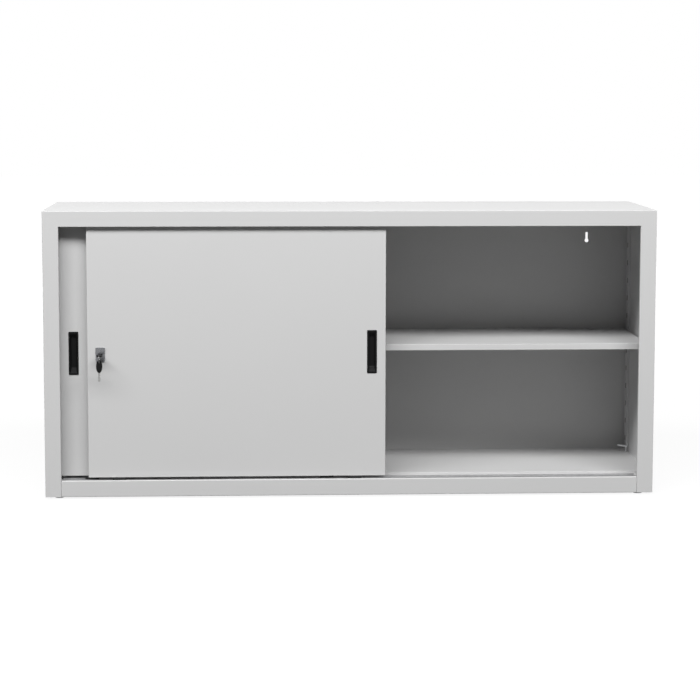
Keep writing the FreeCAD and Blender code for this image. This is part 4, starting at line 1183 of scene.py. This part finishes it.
class CABINET_OT_clips(bpy.types.Operator):
    """Model the shelf clips and the loose spare one"""

    bl_idname = "cabinet.clips"
    bl_label = "Shelf Clips"

    def execute(self, context):
        sizes = context.scene.cabinet_fittings
        clip = model_clip(sizes)
        half = sizes.clip_width / 2
        for side in ("left", "right"):
            low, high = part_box("shelf_clips_" + side)
            top = high.z - sizes.clip_lip
            rows = (low.y + half, high.y - half)
            on_right = [Vector((high.x - sizes.clip_hook, y, top)) for y in rows]
            on_left = [Vector((low.x + sizes.clip_hook, y, top)) for y in rows]
            clips = copied(clip, on_right) + copied(clip, on_left, (0, 0, math.pi))
            stand_for(joined("shelf_bent_clips_" + side, clips), "shelf_clips_" + side)
        low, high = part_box("spare_shelf_clip")
        place = Vector((high.x - sizes.clip_hook, (low.y + high.y) / 2,
                        high.z - sizes.clip_lip))
        stand_copies("spare_bent_clip", "spare_shelf_clip", clip, [place],
                     (0, sizes.clip_tilt, 0))
        bpy.data.objects.remove(clip)
        return {"FINISHED"}


class CABINET_OT_feet(bpy.types.Operator):
    """Model the four foot glides"""

    bl_idname = "cabinet.feet"
    bl_label = "Foot Glides"

    def execute(self, context):
        sizes = context.scene.cabinet_fittings
        low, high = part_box("feet")
        half = sizes.foot_diameter / 2
        step = half / 8                      # from the lower half in to the upper one
        taper = 0.94                         # of the upper half, towards its top
        glide = start_disc("glide", UP, (0, 0, 0), sizes.foot_diameter, sizes.foot_height / 2,
                           corners=48)
        with editing(glide):
            sink_face(UP, step, -sizes.foot_height / 2)
            stretch(taper, taper, 1, (0, 0, sizes.foot_height))
        soften(glide, sizes.foot_height / 8, segments=3)
        stem = start_disc("stem", UP, (0, 0, sizes.foot_height), sizes.foot_stem,
                          high.z - low.z - sizes.foot_height, corners=24)
        soften(stem, sizes.foot_stem / 14)
        foot = joined("foot", [glide, stem])
        places = [Vector((x, y, low.z)) for x in (low.x + half, high.x - half)
                  for y in (low.y + half, high.y - half)]
        stand_copies("foot_glides", "feet", foot, places)
        bpy.data.objects.remove(foot)
        return {"FINISHED"}


# ---------------------------------------------------------------- stage

def seen_directly(tree):
    """1 for what the eye, gloss and clear things see, 0 for the light thrown on the cabinet."""
    seen = add_node(tree, "ShaderNodeLightPath").outputs
    share = seen["Is Camera Ray"]
    for ray in ("Is Glossy Ray", "Is Transmission Ray"):
        share = add_node(tree, "ShaderNodeMath", {0: share, 1: seen[ray]},
                         operation="MAXIMUM").outputs["Value"]
    return share


class CABINET_OT_stage(bpy.types.Operator):
    """Set up the floor, the light and the camera"""

    bl_idname = "cabinet.stage"
    bl_label = "Stage"

    def execute(self, context):
        studio = context.scene.cabinet_studio
        self.add_floor(studio)
        self.add_lamps(studio)
        self.add_room(studio)
        self.add_camera(studio)
        context.scene.view_settings.view_transform = "Standard"
        return {"FINISHED"}

    def add_floor(self, studio):
        """Pale floor that reads white and keeps the cabinet's shadow."""
        bpy.ops.object.select_all(action="DESELECT")
        bpy.ops.mesh.primitive_plane_add(size=studio.floor_size)
        floor = settle("floor")
        tree, place = new_finish("pale_floor")
        tone = clouded(tree, place, tuple(studio.floor), spacing=900, depth=0.01)
        matt = add_node(tree, "ShaderNodeBsdfDiffuse", {"Color": tone}).outputs["BSDF"]
        away = add_node(tree, "ShaderNodeVectorMath", {0: place},
                        operation="LENGTH").outputs["Value"]
        lift = add_node(tree, "ShaderNodeMapRange", {
            "Value": away, "From Min": studio.glow_near, "From Max": studio.glow_far,
            "To Min": studio.floor_glow, "To Max": 1.0,
        }).outputs["Result"]
        glow = add_node(tree, "ShaderNodeMath", {0: seen_directly(tree), 1: lift},
                        operation="MULTIPLY").outputs["Value"]
        light = add_node(tree, "ShaderNodeEmission", {"Strength": glow}).outputs["Emission"]
        both = add_node(tree, "ShaderNodeAddShader", {0: matt, 1: light}).outputs["Shader"]
        add_node(tree, "ShaderNodeOutputMaterial", {"Surface": both})
        floor.data.materials.append(bpy.data.materials["pale_floor"])

    def add_lamps(self, studio):
        """Wide soft key from the front and above, and a low fill behind that gloss skips."""
        middle = (CAD_BOX[0] + CAD_BOX[1]) / 2
        for name, turn, rise, power, in_gloss in (
            ("key_light", studio.key_turn, studio.key_rise, studio.key_power, True),
            ("back_fill", math.pi, studio.fill_rise, studio.fill_power, False),
        ):
            away = Vector((-math.sin(turn) * math.cos(rise), -math.cos(turn) * math.cos(rise),
                           math.sin(rise)))
            bpy.ops.object.light_add(type="AREA",
                                     location=middle + away * studio.key_distance)
            lamp = bpy.context.object
            lamp.name = name
            lamp.rotation_euler = away.to_track_quat("Z", "Y").to_euler()
            lamp.visible_glossy = in_gloss
            lamp.data.shape = "RECTANGLE"
            lamp.data.size = studio.key_width
            lamp.data.size_y = studio.key_height
            lamp.data.energy = power

    def add_room(self, studio):
        """A room that reads white and gives the cabinet only a little light."""
        room = bpy.data.worlds.new("white_room")
        bpy.context.scene.world = room
        room.use_nodes = True
        tree = room.node_tree
        tree.nodes.clear()
        strength = add_node(tree, "ShaderNodeMapRange", {
            "Value": seen_directly(tree), "To Min": studio.ambient, "To Max": 1.0,
        }).outputs["Result"]
        back = add_node(tree, "ShaderNodeBackground", {
            "Color": (1.0, 1.0, 1.0, 1.0), "Strength": strength,
        })
        add_node(tree, "ShaderNodeOutputWorld", {"Surface": back.outputs["Background"]})

    def add_camera(self, studio):
        bpy.ops.object.camera_add(location=studio.camera)
        camera = bpy.context.object
        level = Matrix.Rotation(-studio.yaw, 4, "Z")
        down = Matrix.Rotation(math.pi / 2 - studio.pitch, 4, "X")
        about = Matrix.Rotation(studio.roll, 4, "Z")
        camera.rotation_euler = (level @ down @ about).to_euler()
        camera.data.lens = studio.focal
        camera.data.sensor_width = SENSOR_WIDTH
        camera.data.shift_y = (studio.axis_row - IMAGE_WIDTH / 2) / IMAGE_WIDTH
        camera.data.clip_end = VIEW_DEPTH
        bpy.context.scene.camera = camera


# ---------------------------------------------------------------- add-on

OPERATORS = (
    CABINET_OT_finishes,
    CABINET_OT_sill,
    CABINET_OT_pulls,
    CABINET_OT_lock,
    CABINET_OT_keys,
    CABINET_OT_running_gear,
    CABINET_OT_fasteners,
    CABINET_OT_clips,
    CABINET_OT_feet,
    CABINET_OT_stage,
)


class CABINET_PT_sidebar(bpy.types.Panel):
    """Lists the cabinet's pieces and their sizes"""

    bl_idname = "CABINET_PT_sidebar"
    bl_label = "Sliding Door Cabinet"
    bl_space_type = "VIEW_3D"
    bl_region_type = "UI"
    bl_category = "Cabinet"

    def draw(self, context):
        for operator in OPERATORS:
            self.layout.operator(operator.bl_idname)
        for name, group in GROUPS.items():
            box = self.layout.box()
            for size in group.__annotations__:
                box.prop(getattr(context.scene, name), size)


def register():
    for group in GROUPS.values():
        bpy.utils.register_class(group)
    for operator in OPERATORS:
        bpy.utils.register_class(operator)
    bpy.utils.register_class(CABINET_PT_sidebar)
    for name, group in GROUPS.items():
        setattr(bpy.types.Scene, name, PointerProperty(type=group))


def unregister():
    for name in GROUPS:
        delattr(bpy.types.Scene, name)
    bpy.utils.unregister_class(CABINET_PT_sidebar)
    for made in reversed(tuple(GROUPS.values()) + OPERATORS):
        bpy.utils.unregister_class(made)


def main():
    register()
    for operator in OPERATORS:
        group, name = operator.bl_idname.split(".")
        getattr(getattr(bpy.ops, group), name)()


if __name__ == "__main__":
    main()
